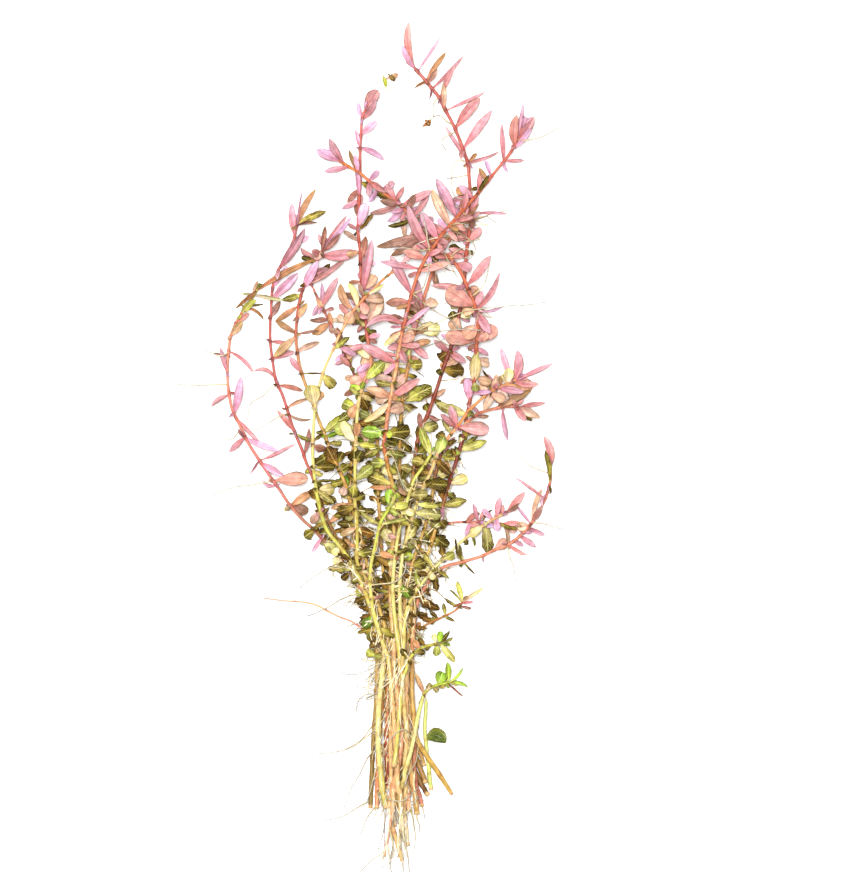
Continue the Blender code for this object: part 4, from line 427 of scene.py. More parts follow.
    ], leaves=[
        (550, 468, 544, 436, 8, "p", 3), (549, 484, 545, 450, 5, "d", 2), (545, 499, 514, 477, 3, "l"),
        (532, 522, 542, 489, 5, "b", -2), (533, 521, 542, 506, 6, "b"), (547, 493, 543, 506, 3, "l", 2),
        (529, 525, 517, 527, 10, "o"), (522, 534, 530, 529, 9, "p"), (529, 525, 517, 505, 3, "p"),
        (508, 545, 528, 555, 4, "p"), (508, 545, 505, 530, 4, "o", 1), (462, 562, 459, 544, 6, "g", -2),
        (461, 561, 455, 538, 3, "d"), (463, 562, 475, 574, 2, "d"), (484, 555, 484, 563, 2, "p"),
        (419, 598, 427, 607, 7, "d"),
    ]),
    "d": dict(family="rosy", radius=(2.0, 2.7), route=[
        (443, 450), (438, 464), (434, 482), (432, 498), (427, 520), (419, 545), (411, 570), (406, 600),
        (404, 650), (406, 700), (411, 745), (414, 780), (420, 808),
    ], heights=[
        (450, 7), (498, 7), (545, 6), (600, 6), (650, 3.5), (745, 3), (808, 1.3),
    ], leaves=[
        (442, 452, 455, 437, 5, "p"), (438, 464, 451, 465, 7, "o"), (436, 474, 424, 463, 5, "b"),
        (431, 500, 423, 512, 7, "d"), (427, 520, 440, 527, 8, "g"), (424, 530, 432, 540, 8, "d"),
        (419, 545, 425, 566, 8, "d"), (418, 548, 409, 536, 7, "g"),
    ]),
    "s": dict(family="tan", radius=(1.1, 1.7), route=[
        (464, 600), (459, 607), (453, 612), (445, 616), (434, 621), (424, 626), (415, 634), (409, 648),
        (407, 672), (407, 720),
    ], heights=[
        (600, 1.6), (616, 2), (626, 3), (640, 3), (720, 4),
    ], leaves=[
        (464, 600, 457, 581, 5, "y"), (464, 600, 483, 588, 4, "o", -1), (463, 599, 449, 590, 2, "g"),
        (459, 607, 445, 598, 3, "g", -1), (459, 607, 472, 608, 3, "b"), (445, 616, 443, 603, 4, "g"),
        (446, 616, 455, 622, 3, "g"), (464, 600, 473, 598, 3, "p"), (413, 637, 422, 639, 6, "y"),
        (416, 633, 420, 622, 5, "o"),
    ]),
    "t": dict(family="gold", radius=(1.5, 2.6), route=[
        (443, 644), (434, 644), (422, 647), (412, 653), (406, 662), (402, 675), (400, 700), (398, 730),
        (396, 765),
    ], heights=[
        (644, 4.5), (653, 8.5), (675, 9.5), (700, 9.5), (765, 7.5),
    ], leaves=[
        (436, 644, 436, 656, 8, "g"), (436, 644, 434, 634, 6, "g"), (443, 644, 455, 662, 7, "w"),
        (442, 643, 441, 631, 6, "y"), (443, 644, 453, 637, 3, "g"), (438, 643, 450, 630, 4, "d", 1),
        (418, 648, 414, 640, 7, "o"), (414, 652, 425, 652, 6, "d"), (408, 659, 401, 648, 6, "d"),
    ]),
    "u": dict(family="green", radius=(1.7, 2.9), route=[
        (451, 683), (441, 684), (432, 687), (425, 692), (421, 702), (417, 717), (413, 735), (409, 750),
        (404, 764), (398, 783), (393, 806),
    ], heights=[
        (683, 3.5), (692, 7), (717, 8), (764, 8), (806, 3),
    ], leaves=[
        (438, 685, 443, 672, 12, "y"), (433, 687, 438, 692, 5, "g"), (424, 693, 415, 673, 5, "o"),
        (423, 696, 419, 705, 4, "d"), (450, 683, 447, 662, 6, "y", 1), (451, 683, 468, 688, 4, "y", -2),
        (446, 683, 440, 688, 5, "g"), (451, 683, 464, 697, 2, "b"), (451, 682, 463, 667, 3, "y", 2),
        (425, 690, 431, 683, 5, "g"),
    ]),
    "v": dict(family="green", radius=(1.9, 2.5), route=[
        (426, 699), (425, 715), (424, 730), (425, 745), (426, 765), (427, 793),
    ], heights=[
        (699, 3.2), (745, 2.2), (793, 1),
    ], leaves=[
        (425, 740, 446, 743, 13, "g"),
    ]),
    "z": dict(family="tan", radius=(0.9, 1.4), route=[
        (260, 598), (284, 601), (300, 602), (315, 605), (325, 610), (339, 617), (352, 622), (364, 631),
        (372, 645), (378, 665), (382, 690),
    ], heights=[
        (598, 0.6), (617, 1.5), (631, 3), (690, 1.4),
    ], leaves=[]),
}

# Root threads: stem that bears it, radius in picture units, points from the
# stem outward as (column, row). It lies over whatever is below it.
THREADS = [
    ("b", 0.8, [(450, 228), (458, 232), (468, 239), (474, 246), (474, 253), (468, 261)]),
    ("b", 0.7, [(449, 227), (458, 224), (466, 225), (473, 232)]),
    ("b", 0.8, [(429, 252), (427, 240), (426, 228), (423, 216)]),
    ("b", 0.7, [(430, 250), (423, 251), (412, 249), (400, 248), (391, 251)]),
    ("g", 0.7, [(452, 256), (460, 249), (468, 248), (470, 255), (463, 259)]),
    ("g", 0.6, [(440, 249), (446, 257), (452, 268), (459, 280), (466, 294)]),
    ("b", 0.6, [(412, 293), (420, 292), (424, 285), (428, 276), (430, 262)]),
    ("b", 0.7, [(412, 293), (422, 302), (432, 308), (441, 315), (450, 320), (460, 331)]),
    ("b", 0.6, [(403, 327), (416, 330), (432, 325), (444, 320), (462, 312), (480, 309),
        (505, 307), (530, 304), (548, 301)]),
    ("b", 0.6, [(404, 328), (420, 330), (440, 331), (462, 330), (482, 331)]),
    ("h", 0.5, [(409, 362), (404, 356), (409, 348), (428, 346), (446, 339)]),
    ("b", 0.7, [(396, 364), (406, 365), (415, 369), (424, 377)]),
    ("b", 0.7, [(386, 437), (396, 438), (408, 442), (414, 449), (416, 456)]),
    ("b", 0.7, [(386, 445), (398, 448), (410, 453), (424, 454)]),
    ("b", 0.6, [(387, 450), (394, 460), (399, 476), (404, 490)]),
    ("a", 0.5, [(453, 126), (445, 120), (439, 114), (430, 118), (420, 128), (416, 138)]),
    ("a", 0.5, [(456, 131), (447, 137), (442, 141), (446, 150)]),
    ("a", 0.4, [(439, 98), (434, 104), (433, 116)]),
    ("a", 0.5, [(466, 162), (458, 160), (452, 169), (451, 182), (455, 196), (466, 200)]),
    ("a", 0.5, [(468, 176), (458, 177), (446, 178)]),
    ("a", 0.5, [(471, 220), (486, 217), (497, 222)]),
    ("b", 0.5, [(519, 142), (533, 139), (548, 133), (567, 124)]),
    ("g", 0.5, [(472, 298), (484, 285), (488, 268), (492, 252)]),
    ("r", 0.5, [(550, 473), (540, 470), (528, 464), (516, 450)]),
    ("r", 0.4, [(532, 523), (546, 525), (560, 528), (566, 530)]),
    ("r", 0.5, [(508, 546), (510, 558), (514, 570), (515, 581)]),
    ("g", 0.5, [(456, 459), (462, 463), (466, 470)]),
    ("q", 0.5, [(447, 524), (446, 516), (445, 508)]),
    ("l", 0.4, [(228, 385), (215, 384), (190, 385), (164, 383)]),
    ("l", 0.4, [(273, 480), (258, 484), (236, 487), (206, 497)]),
    ("l", 0.5, [(241, 429), (232, 439), (222, 440), (210, 440)]),
    ("j", 0.5, [(274, 385), (262, 396), (250, 404), (247, 420)]),
    ("j", 0.4, [(287, 413), (276, 419), (264, 427), (252, 430)]),
    ("l", 0.4, [(229, 350), (222, 356), (212, 354), (204, 349)]),
    ("i", 0.8, [(366, 592), (352, 595), (338, 601), (325, 609), (308, 616)]),
    ("n", 0.9, [(384, 583), (391, 582), (399, 579), (405, 571), (405, 562)]),
    ("i", 0.5, [(348, 567), (330, 567), (314, 577), (300, 588)]),
    ("l", 0.5, [(367, 604), (358, 606), (350, 601), (340, 612)]),
    ("n", 0.8, [(388, 650), (380, 664), (370, 664), (371, 674), (377, 686)]),
    ("l", 0.6, [(376, 730), (366, 737), (352, 749), (330, 753), (311, 755)]),
    ("l", 0.7, [(376, 746), (369, 756), (360, 776), (350, 790), (343, 808)]),
    ("l", 0.5, [(372, 800), (358, 808), (342, 817), (325, 821)]),
    ("i", 0.6, [(386, 796), (396, 801), (408, 797), (418, 788)]),
    ("i", 0.8, [(380, 760), (372, 784), (366, 803)]),
    ("n", 0.7, [(402, 818), (409, 808), (418, 796)]),
    ("j", 0.5, [(376, 806), (366, 820), (360, 834), (355, 840)]),
    ("b", 0.9, [(390, 830), (393, 850), (391, 862), (392, 875)]),
    ("n", 0.9, [(403, 826), (405, 840), (408, 858), (409, 874)]),
    ("x", 0.6, [(401, 835), (402, 850), (403, 864), (403, 875)]),
    ("m", 0.6, [(409, 809), (414, 824), (416, 840), (413, 857)]),
    ("o", 0.6, [(413, 812), (418, 822), (421, 838)]),
    ("d", 0.5, [(420, 805), (424, 812), (425, 820)]),
    ("j", 0.5, [(377, 790), (384, 815), (382, 835), (378, 850)]),
    ("b", 0.5, [(386, 850), (379, 856), (370, 862), (360, 874)]),
    ("r", 0.6, [(419, 744), (417, 760), (409, 772), (404, 786)]),
    ("u", 0.6, [(412, 740), (404, 728), (396, 734), (388, 740)]),
]


def place(col, row, height=0.0):
    """A point of the picture, scaled to the table plane."""
    return np.array(((col - MID_COL) * PX, (MID_ROW - row) * PX, height))


def run_along(line):
    """How far each point of a line is from its start, measured along it."""
    return np.concatenate(([0.0], np.cumsum(np.linalg.norm(np.diff(line, axis=0), axis=1))))


def nearest(line, spot):
    """Index of the point of a line that is nearest to a spot, seen from above."""
    return int(np.argmin(np.linalg.norm(line[:, :2] - spot[:2], axis=1)))


def node_on(line, col, row):
    """Index of the inner point of a line that is nearest to a spot of the picture."""
    return min(max(nearest(line, place(col, row)), 1), len(line) - 2)


def columns_of(points):
    """Picture columns of points on the table plane."""
    return points[:, 0] / PX + MID_COL


def rows_of(points):
    """Picture rows of points on the table plane."""
    return MID_ROW - points[:, 1] / PX


def points_in(line, box):
    """Indices of the points of a line that lie in a box of the picture."""
    left, right, top, bottom = box
    cols = columns_of(line)
    rows = rows_of(line)
    return np.nonzero((cols > left) & (cols < right) & (rows > top) & (rows < bottom))[0]


def turned(reach, turn):
    """A flat vector turned by an angle."""
    return (reach[0] * math.cos(turn) - reach[1] * math.sin(turn),
            reach[0] * math.sin(turn) + reach[1] * math.cos(turn))


def plumb(tree, x, y):
    """Height at which a plumb line first meets a tree of faces, or None."""
    found = tree.ray_cast(Vector((x, y, PLUMB_FROM)), Vector((0, 0, -1)))[0]
    return None if found is None else found.z


def resample(points, spacing):
    """Points at an even spacing along a smooth curve through the given points."""
    pts = np.asarray(points, float)
    padded = np.vstack((2 * pts[0] - pts[1], pts, 2 * pts[-1] - pts[-2]))
    fine = []
    for k in range(len(pts) - 1):
        p0, p1, p2, p3 = padded[k:k + 4]
        for t in np.linspace(0.0, 1.0, CURVE_SPLITS, endpoint=False):
            a = 2 * p1
            b = (p2 - p0) * t
            c = (2 * p0 - 5 * p1 + 4 * p2 - p3) * t * t
            d = (3 * p1 - p0 - 3 * p2 + p3) * t ** 3
            fine.append((a + b + c + d) / 2)
    fine.append(pts[-1])
    fine = np.array(fine)
    run = run_along(fine)
    count = max(3, int(round(run[-1] / spacing)) + 1)
    stations = np.linspace(0.0, run[-1], count)
    return np.stack([np.interp(stations, run, fine[:, k]) for k in range(fine.shape[1])], axis=1)


def first_lay(stem):
    """The stem's even points at their first heights, and a radius for each."""
    rows = [row for row, _ in stem["heights"]]
    highs = [mm * MM for _, mm in stem["heights"]]
    pts = []
    for col, row in stem["route"]:
        pts.append(place(col, row, float(np.interp(row, rows, highs))))
    line = resample(pts, STEP)
    top, foot = stem["radius"]
    radius = np.linspace(top, foot, len(line)) * PX
    radius[0] *= TIP_RADIUS
    line[:, 2] = np.maximum(line[:, 2], radius)
    return line, radius


def smoothed(values, owner_slices, weight):
    """Each stem's values pulled toward the mean of their neighbours."""
    out = values.copy()
    for part in owner_slices:
        block = values[part]
        padded = np.vstack((block[0], block[0], block, block[-1], block[-1]))
        mean = (padded[:-4] + padded[1:-3] + padded[3:-1] + padded[4:]) / 4
        out[part] = block + weight * (mean - block)
    return out


def settle(stems):
    """Push the stems apart until none touches another, keeping who lies on top."""
    names = list(stems)
    lines = []
    radii = []
    for name in names:
        line, radius = first_lay(stems[name])
        lines.append(line)
        radii.append(radius)
    start = np.vstack(lines)
    radius = np.concatenate(radii)
    owner = np.concatenate([np.full(len(line), k) for k, line in enumerate(lines)])
    ends = np.cumsum([len(line) for line in lines])
    slices = [slice(end - len(line), end) for end, line in zip(ends, lines)]
    first = []
    second = []
    for k in range(len(start)):
        near = np.linalg.norm(start[k + 1:, :2] - start[k, :2], axis=1)
        close = near < radius[k] + radius[k + 1:] + NEIGHBOURS
        hits = np.nonzero(close & (owner[k + 1:] != owner[k]))
        first.append(np.full(len(hits[0]), k))
        second.append(hits[0] + k + 1)
    first = np.concatenate(first)
    second = np.concatenate(second)
    above = np.sign(start[second, 2] - start[first, 2] + 1e-7)
    need = radius[first] + radius[second] + STEM_GAP
    pts = start.copy()
    for turn in range(SETTLE_ROUNDS):
        if turn <= SETTLE_ROUNDS - LAST_ROUNDS:
            shift = smoothed(pts - start, slices, SMOOTHING)
            pts = start + shift * PULL_BACK
        delta = pts[second] - pts[first]
        gap = np.linalg.norm(delta, axis=1)
        lack = need - gap
        hit = lack > 0
        flat = delta[:, :2] / np.maximum(np.linalg.norm(delta[:, :2], axis=1), 1e-6)[:, None]
        push = np.zeros_like(delta)
        push[:, 2] = above * lack * PUSH_UP
        push[:, :2] = flat * (lack * PUSH_ASIDE)[:, None]
        push[~hit] = 0.0
        move = np.zeros_like(pts)
        count = np.zeros(len(pts))
        np.add.at(move, second, push)
        np.add.at(move, first, -push)
        np.add.at(count, second, hit)
        np.add.at(count, first, hit)
        pts += move / np.maximum(count, 1.0)[:, None] * OVERSHOOT
        pts[:, 2] = np.maximum(pts[:, 2], radius)
    result = {}
    for k, name in enumerate(names):
        result[name] = (pts[slices[k]], radius[slices[k]])
    return result


def thin_out(line, tolerance):
    """Indices of the points that keep a line within the tolerance of its curve."""
    keep = {0, len(line) - 1}
    stack = [(0, len(line) - 1)]
    while stack:
        low, high = stack.pop()
        if high - low < 2:
            continue
        a = line[low]
        chord = line[high] - a
        along = np.clip((line[low:high] - a) @ chord / max(chord @ chord, 1e-18), 0, 1)
        off = np.linalg.norm(line[low:high] - a - along[:, None] * chord, axis=1)
        far = int(np.argmax(off))
        if off[far] > tolerance:
            keep.add(low + far)
            stack.append((low, low + far))
            stack.append((low + far, high))
    return sorted(keep)


def ring_faces(rows, ring):
    """Faces of a closed skin of rings, with a lid at either end."""
    faces = []
    for k in range(rows - 1):
        for j in range(ring):
            a = k * ring + j
            b = k * ring + (j + 1) % ring
            faces.append((a, b, b + ring, a + ring))
    faces.append(tuple(range(ring - 1, -1, -1)))
    last = (rows - 1) * ring
    faces.append(tuple(range(last, last + ring)))
    return faces


def along(line):
    """The direction of a line at each of its points."""
    ahead = np.gradient(line, axis=0)
    return ahead / np.maximum(np.linalg.norm(ahead, axis=1), TINY)[:, None]


def frames(line):
    """At each point of a line its direction, and a side vector carried on without twist."""
    ahead = along(line)
    side = np.cross(ahead[0], UPRIGHT)
    if np.linalg.norm(side) < STEEP:
        side = np.array((1.0, 0.0, 0.0))
    for forward in ahead:
        side = side - forward * (side @ forward)
        side /= np.linalg.norm(side)
        yield forward, side


def tube(line, radius, sides, twist):
    """A closed tube along a line: its corners and its faces."""
    verts = []
    for centre, thick, (forward, side) in zip(line, radius, frames(line)):
        up = np.cross(side, forward)
        for j in range(sides):
            angle = 2 * math.pi * j / sides + twist
            spoke = side * math.cos(angle) + up * math.sin(angle)
            verts.append(centre + spoke * thick)
    return verts, ring_faces(len(line), sides)


def full_width(u, rise, fall):
    """Share of a blade's full width at a share u of its length."""
    top = rise / (rise + fall)
    return (u / top) ** rise * ((1 - u) / (1 - top)) ** fall


def leaf_shape(base, tip, width, bow, side_up):
    """The centre line, side vectors and edge lift that make up one leaf."""
    length = float(np.linalg.norm(tip - base))
    ahead = (tip - base) / length
    flat = np.cross(ahead, UPRIGHT)
    flat /= max(float(np.linalg.norm(flat)), 1e-9)
    real = max(width, FLAT_BLADE * NARROWEST)
    fold = math.acos(min(1.0, max(TIGHTEST_FOLD, width / real)))
    return dict(
        base=base,
        tip=tip,
        length=length,
        flat=flat,
        up=np.cross(flat, ahead),
        half=width / 2,
        lift=math.sin(fold) * real / 2 * side_up,
        bow=flat * bow,
        arch=np.array((0.0, 0.0, length * ARCH)),
        broad=width > length * BROAD,
    )


def leaf_point(shape, u):
    """The centre line of a leaf at the share u of its length."""
    hump = 4 * u * (1 - u)
    return shape["base"] * (1 - u) + shape["tip"] * u + (shape["bow"] + shape["arch"]) * hump


def leaf_solid(shape, extra=0.0):
    """A leaf as a closed three-edged solid, thicker and wider by the extra."""
    stations = TWO_BENDS if shape["length"] > LONG_LEAF else ONE_BEND
    rise, fall = SOLID_BROAD if shape["broad"] else SOLID_SLIM
    sections = []
    start = 0.0 if extra == 0.0 else GROWN_START
    for u in (start,) + stations:
        centre = leaf_point(shape, u)
        share = full_width(max(u, 0.02), rise, fall)
        half = max(shape["half"] * share, LEAF_BASE / 2) + extra
        lift = shape["up"] * shape["lift"] * share
        keel = shape["up"] * (LEAF_THICK / 2 + extra) * (1 if shape["lift"] < 0 else -1)
        left = centre - shape["flat"] * half + lift - keel
        right = centre + shape["flat"] * half + lift - keel
        sections.append((left, centre + keel, right))
    ahead = (shape["tip"] - shape["base"]) / shape["length"]
    verts = [corner for section in sections for corner in section]
    verts.append(shape["tip"] + ahead * extra)
    faces = [(2, 1, 0)]
    for k in range(len(sections) - 1):
        for j in range(3):
            a = 3 * k + j
            b = 3 * k + (j + 1) % 3
            faces.append((a, b, b + 3, a + 3))
    last = 3 * (len(sections) - 1)
    for j in range(3):
        faces.append((last + j, last + (j + 1) % 3, len(verts) - 1))
    return verts, faces


class Crowd:
    """All solids placed so far, to test a new one against."""

    def __init__(self):
        self.items = []

    def add(self, owner, verts, faces):
        pts = np.array(verts)
        tree = BVHTree.FromPolygons([tuple(v) for v in verts], faces)
        self.items.append((owner, pts.min(axis=0), pts.max(axis=0), tree))

    def free(self, owner, verts, faces, own_too):
        """Whether a solid touches none of the others, its own stem left out."""
        pts = np.array(verts)
        low = pts.min(axis=0)
        high = pts.max(axis=0)
        tree = None
        for other, other_low, other_high, other_tree in self.items:
            if other == owner and not own_too:
                continue
            if other == owner + ":stem":
                continue
            if (other_low > high).any() or (other_high < low).any():
                continue
            if tree is None:
                tree = BVHTree.FromPolygons([tuple(v) for v in verts], faces)
            if tree.overlap(other_tree):
                return False
        return True

    def top(self, x, y, reach):
        """Height of the highest solid near a spot, or the table's."""
        high = 0.0
        for _, other_low, other_high, tree in self.items:
            if other_high[2] < high:
                continue
            if other_low[0] > x + reach or other_high[0] < x - reach:
                continue
            if other_low[1] > y + reach or other_high[1] < y - reach:
                continue
            for dx in (-reach, 0.0, reach):
                for dy in (-reach, 0.0, reach):
                    found = plumb(tree, x + dx, y + dy)
                    if found is not None:
                        high = max(high, found)
        return high


def lay_leaf(crowd, name, line, spec, number):
    """Find a pose for one leaf that touches nothing else, or give it up."""
    node_col, node_row, tip_col, tip_row, width, kind, *bow = spec
    k = node_on(line, node_col, node_row)
    stagger = (number * 7 % 11 - 5) * LEAF_STAGGER
    base = line[k] + (line[k + 1] - line[k]) * stagger
    flat_tip = place(tip_col, tip_row)
    side_up = 1 if (number * 7 + len(name)) % 3 else -1
    for swing in SWINGS:
        for shrink in SHRINKS:
            dx, dy = turned((flat_tip - base)[:2] * shrink, math.radians(swing))
            span = math.hypot(dx, dy)
            for tilt in TILTS[kind]:
                rise = span * math.tan(math.radians(tilt))
                tip = base + np.array((dx, dy, rise))
                tip[2] = max(tip[2], LOWEST_TIP)
                shape = leaf_shape(base, tip, width * PX, sum(bow) * PX, side_up)
                verts, faces = leaf_solid(shape)
                if min(v[2] for v in verts) < 0.0:
                    continue
                grown, grown_faces = leaf_solid(shape, LEAF_GAP)
                if crowd.free(name, grown, grown_faces, True):
                    return shape, verts, faces
    return None


def lay_thread(crowd, line, spec):
    """A root thread draped over what is below it, or lying on the table."""
    _, width, points = spec
    radius = max(width * PX, THREAD_RADIUS)
    flat = resample([place(col, row)[:2] for col, row in points], THREAD_STEP)
    root = line[nearest(line, flat[0])]
    heights = []
    for x, y in flat:
        floor = crowd.top(x, y, THREAD_REACH)
        rest = radius if floor <= 0.0 else floor + radius + THREAD_CLEAR
        heights.append(rest)
    heights = np.array(heights)
    spread = np.maximum(heights, np.maximum(np.roll(heights, 1), np.roll(heights, -1)))
    spread[0] = max(heights[0], heights[1])
    spread[-1] = max(heights[-1], heights[-2])
    for _ in range(THREAD_EASINGS):
        mean = (np.roll(spread, 1) + np.roll(spread, -1)) / 2
        mean[0] = spread[0]
        mean[-1] = spread[-1]
        spread = np.maximum(spread, mean * SAG)
    pts = np.column_stack((flat, spread))
    clear = np.linalg.norm(pts[:, :2] - root[:2], axis=1) > THREAD_START
    pts = np.vstack((root, pts[clear]))
    taper = np.linspace(radius, radius * THREAD_TAPER, len(pts))
    return pts, taper


def lay_all():
    """Settle the stems, then find a place for every leaf and root thread."""
    settled = settle(STEMS)
    crowd = Crowd()
    bodies = {}
    for name, (line, radius) in settled.items():
        keep = thin_out(line, CHORD)
        bodies[name] = tube(line[keep], radius[keep], SIDES, STEM_TWIST)
        crowd.add(name + ":stem", *bodies[name])
    leaves = {name: [] for name in settled}
    for name in LEAF_ORDER:
        line = settled[name][0]
        for number, spec in enumerate(STEMS[name]["leaves"]):
            found = lay_leaf(crowd, name, line, spec, number)
            if found is None:
                continue
            shape, verts, faces = found
            crowd.add(name, verts, faces)
            kind = spec[5]
            leaves[name].append((kind, shape, verts, faces))
    threads = {name: [] for name in settled}
    for spec in THREADS:
        name = spec[0]
        pts, taper = lay_thread(crowd, settled[name][0], spec)
        for _ in range(THREAD_TRIES):
            keep = thin_out(pts, THREAD_CHORD)
            grown, grown_faces = tube(pts[keep], taper[keep] + LEAF_GAP, 4, THREAD_TWIST)
            if crowd.free(name, grown, grown_faces, False):
                crowd.add(name, *tube(pts[keep], taper[keep], 3, THREAD_TWIST))
                threads[name].append((pts, taper))
                break
            pts[1:, 2] += THREAD_LIFT
    return settled, bodies, leaves, threads, crowd


# Colours as they look in daylight, red, green and blue from 0 to 255.
PAINTS = {
    "rose": (194, 110, 110),
    "rose_red": (178, 88, 86),
    "red": (182, 90, 74),
    "red_brown": (154, 82, 62),
    "dark_red": (122, 54, 46),
    "orange_red": (192, 106, 78),
    "orange": (214, 136, 82),
    "peach": (224, 176, 134),
    "salmon": (212, 138, 116),
    "cream_yellow": (214, 200, 138),
    "yellow": (200, 190, 104),
    "lime_yellow": (194, 200, 94),
    "pale_yellow": (212, 206, 142),
    "gold_tan": (194, 160, 86),
    "tan": (188, 152, 92),
    "tan_cream": (208, 178, 128),
    "brown": (148, 112, 62),
    "dark_brown": (106, 74, 46),
    "olive_brown": (136, 112, 60),
    "dusky_rose": (188, 118, 108),
    "green": (180, 204, 78),
    "pink_tan": (220, 160, 138),
    "pale_pink": (220, 168, 158),
    "flesh": (228, 166, 138),
    "pale_lime": (206, 214, 132),
    "bleached": (224, 210, 192),
}

# How each stem's skin changes from tip to foot, as (row, paint).
STEM_PAINTS = {
    "a": [(66, "rose"), (120, "rose_red"), (250, "red"), (340, "dark_red"), (440, "red_brown"),
        (490, "gold_tan"), (600, "gold_tan"), (700, "tan"), (770, "brown"), (793, "dark_brown")],
    "b": [(126, "rose"), (200, "orange_red"), (330, "orange_red"), (352, "peach"), (395, "peach"),
        (420, "salmon"), (445, "orange_red"), (470, "gold_tan"), (600, "tan_cream"), (690, "peach"),
        (740, "flesh"), (800, "peach"), (840, "pale_pink")],
    "f": [(108, "rose"), (200, "red"), (330, "rose_red"), (372, "peach"), (400, "cream_yellow"),
        (480, "yellow"), (540, "yellow"), (620, "gold_tan"), (760, "peach"), (862, "tan_cream")],
    "g": [(158, "orange"), (200, "orange_red"), (300, "orange_red"), (420, "red_brown"),
        (438, "dark_red"), (480, "dark_red"), (540, "gold_tan"), (785, "brown")],
    "h": [(222, "red"), (300, "salmon"), (400, "gold_tan"), (600, "tan"), (790, "brown")],
    "i": [(272, "orange"), (330, "peach"), (390, "cream_yellow"), (440, "cream_yellow"),
        (500, "lime_yellow"), (600, "yellow"), (700, "cream_yellow"), (740, "pale_yellow"),
        (808, "yellow")],
    "j": [(222, "rose"), (300, "rose_red"), (460, "rose_red"), (530, "brown"), (620, "tan"),
        (760, "orange"), (809, "salmon")],
    "k": [(245, "red_brown"), (320, "red"), (400, "tan"), (480, "gold_tan"), (600, "gold_tan"),
        (740, "red_brown"), (790, "dark_red")],
    "l": [(288, "lime_yellow"), (310, "orange"), (345, "salmon"), (480, "rose"), (560, "brown"),
        (620, "tan"), (760, "olive_brown"), (809, "olive_brown")],
    "m": [(453, "lime_yellow"), (560, "pale_yellow"), (640, "yellow"), (700, "peach"), (812, "flesh")],
    "n": [(500, "green"), (540, "lime_yellow"), (620, "yellow"), (740, "peach"), (800, "tan_cream"),
        (830, "bleached")],
    "o": [(379, "peach"), (420, "orange"), (450, "peach"), (480, "cream_yellow"), (600, "pale_yellow"),
        (700, "peach"), (815, "tan")],
    "o_side": [(405, "salmon"), (425, "salmon")],
    "w": [(440, "tan"), (560, "gold_tan"), (680, "gold_tan"), (730, "tan_cream"), (780, "tan"),
        (828, "bleached")],
    "x": [(286, "rose"), (340, "red_brown"), (372, "dark_red"), (388, "dark_red"), (430, "tan"),
        (600, "gold_tan"), (700, "tan_cream"), (790, "tan_cream"), (838, "bleached")],
    "p": [(511, "peach"), (545, "pale_yellow"), (620, "yellow"), (740, "tan_cream"), (800, "tan_cream"),
        (846, "bleached")],
    "q": [(525, "dusky_rose"), (560, "dusky_rose"), (640, "red_brown"), (768, "tan")],
    "r": [(466, "rose"), (530, "salmon"), (590, "salmon"), (680, "tan"), (760, "gold_tan"),
        (795, "gold_tan")],
    "d": [(450, "red_brown"), (510, "gold_tan"), (620, "tan"), (808, "dusky_rose")],
    "s": [(600, "orange"), (640, "olive_brown"), (720, "tan")],
    "t": [(644, "lime_yellow"), (690, "yellow"), (765, "yellow")],
    "u": [(683, "green"), (705, "pale_lime"), (760, "pale_yellow"), (806, "gold_tan")],
    "v": [(699, "pale_lime"), (793, "pale_lime")],
    "z": [(598, "pale_pink"), (608, "tan_cream"), (618, "pink_tan"), (632, "dusky_rose"),
        (640, "brown"), (690, "brown")],
}

# Stems whose foot is thinner than the solid's: rows, and the share of the radius there.
SLIM_FEET = {"b": ((790, 830), (1.0, 0.62)), "r": ((770, 795), (1.0, 0.8))}

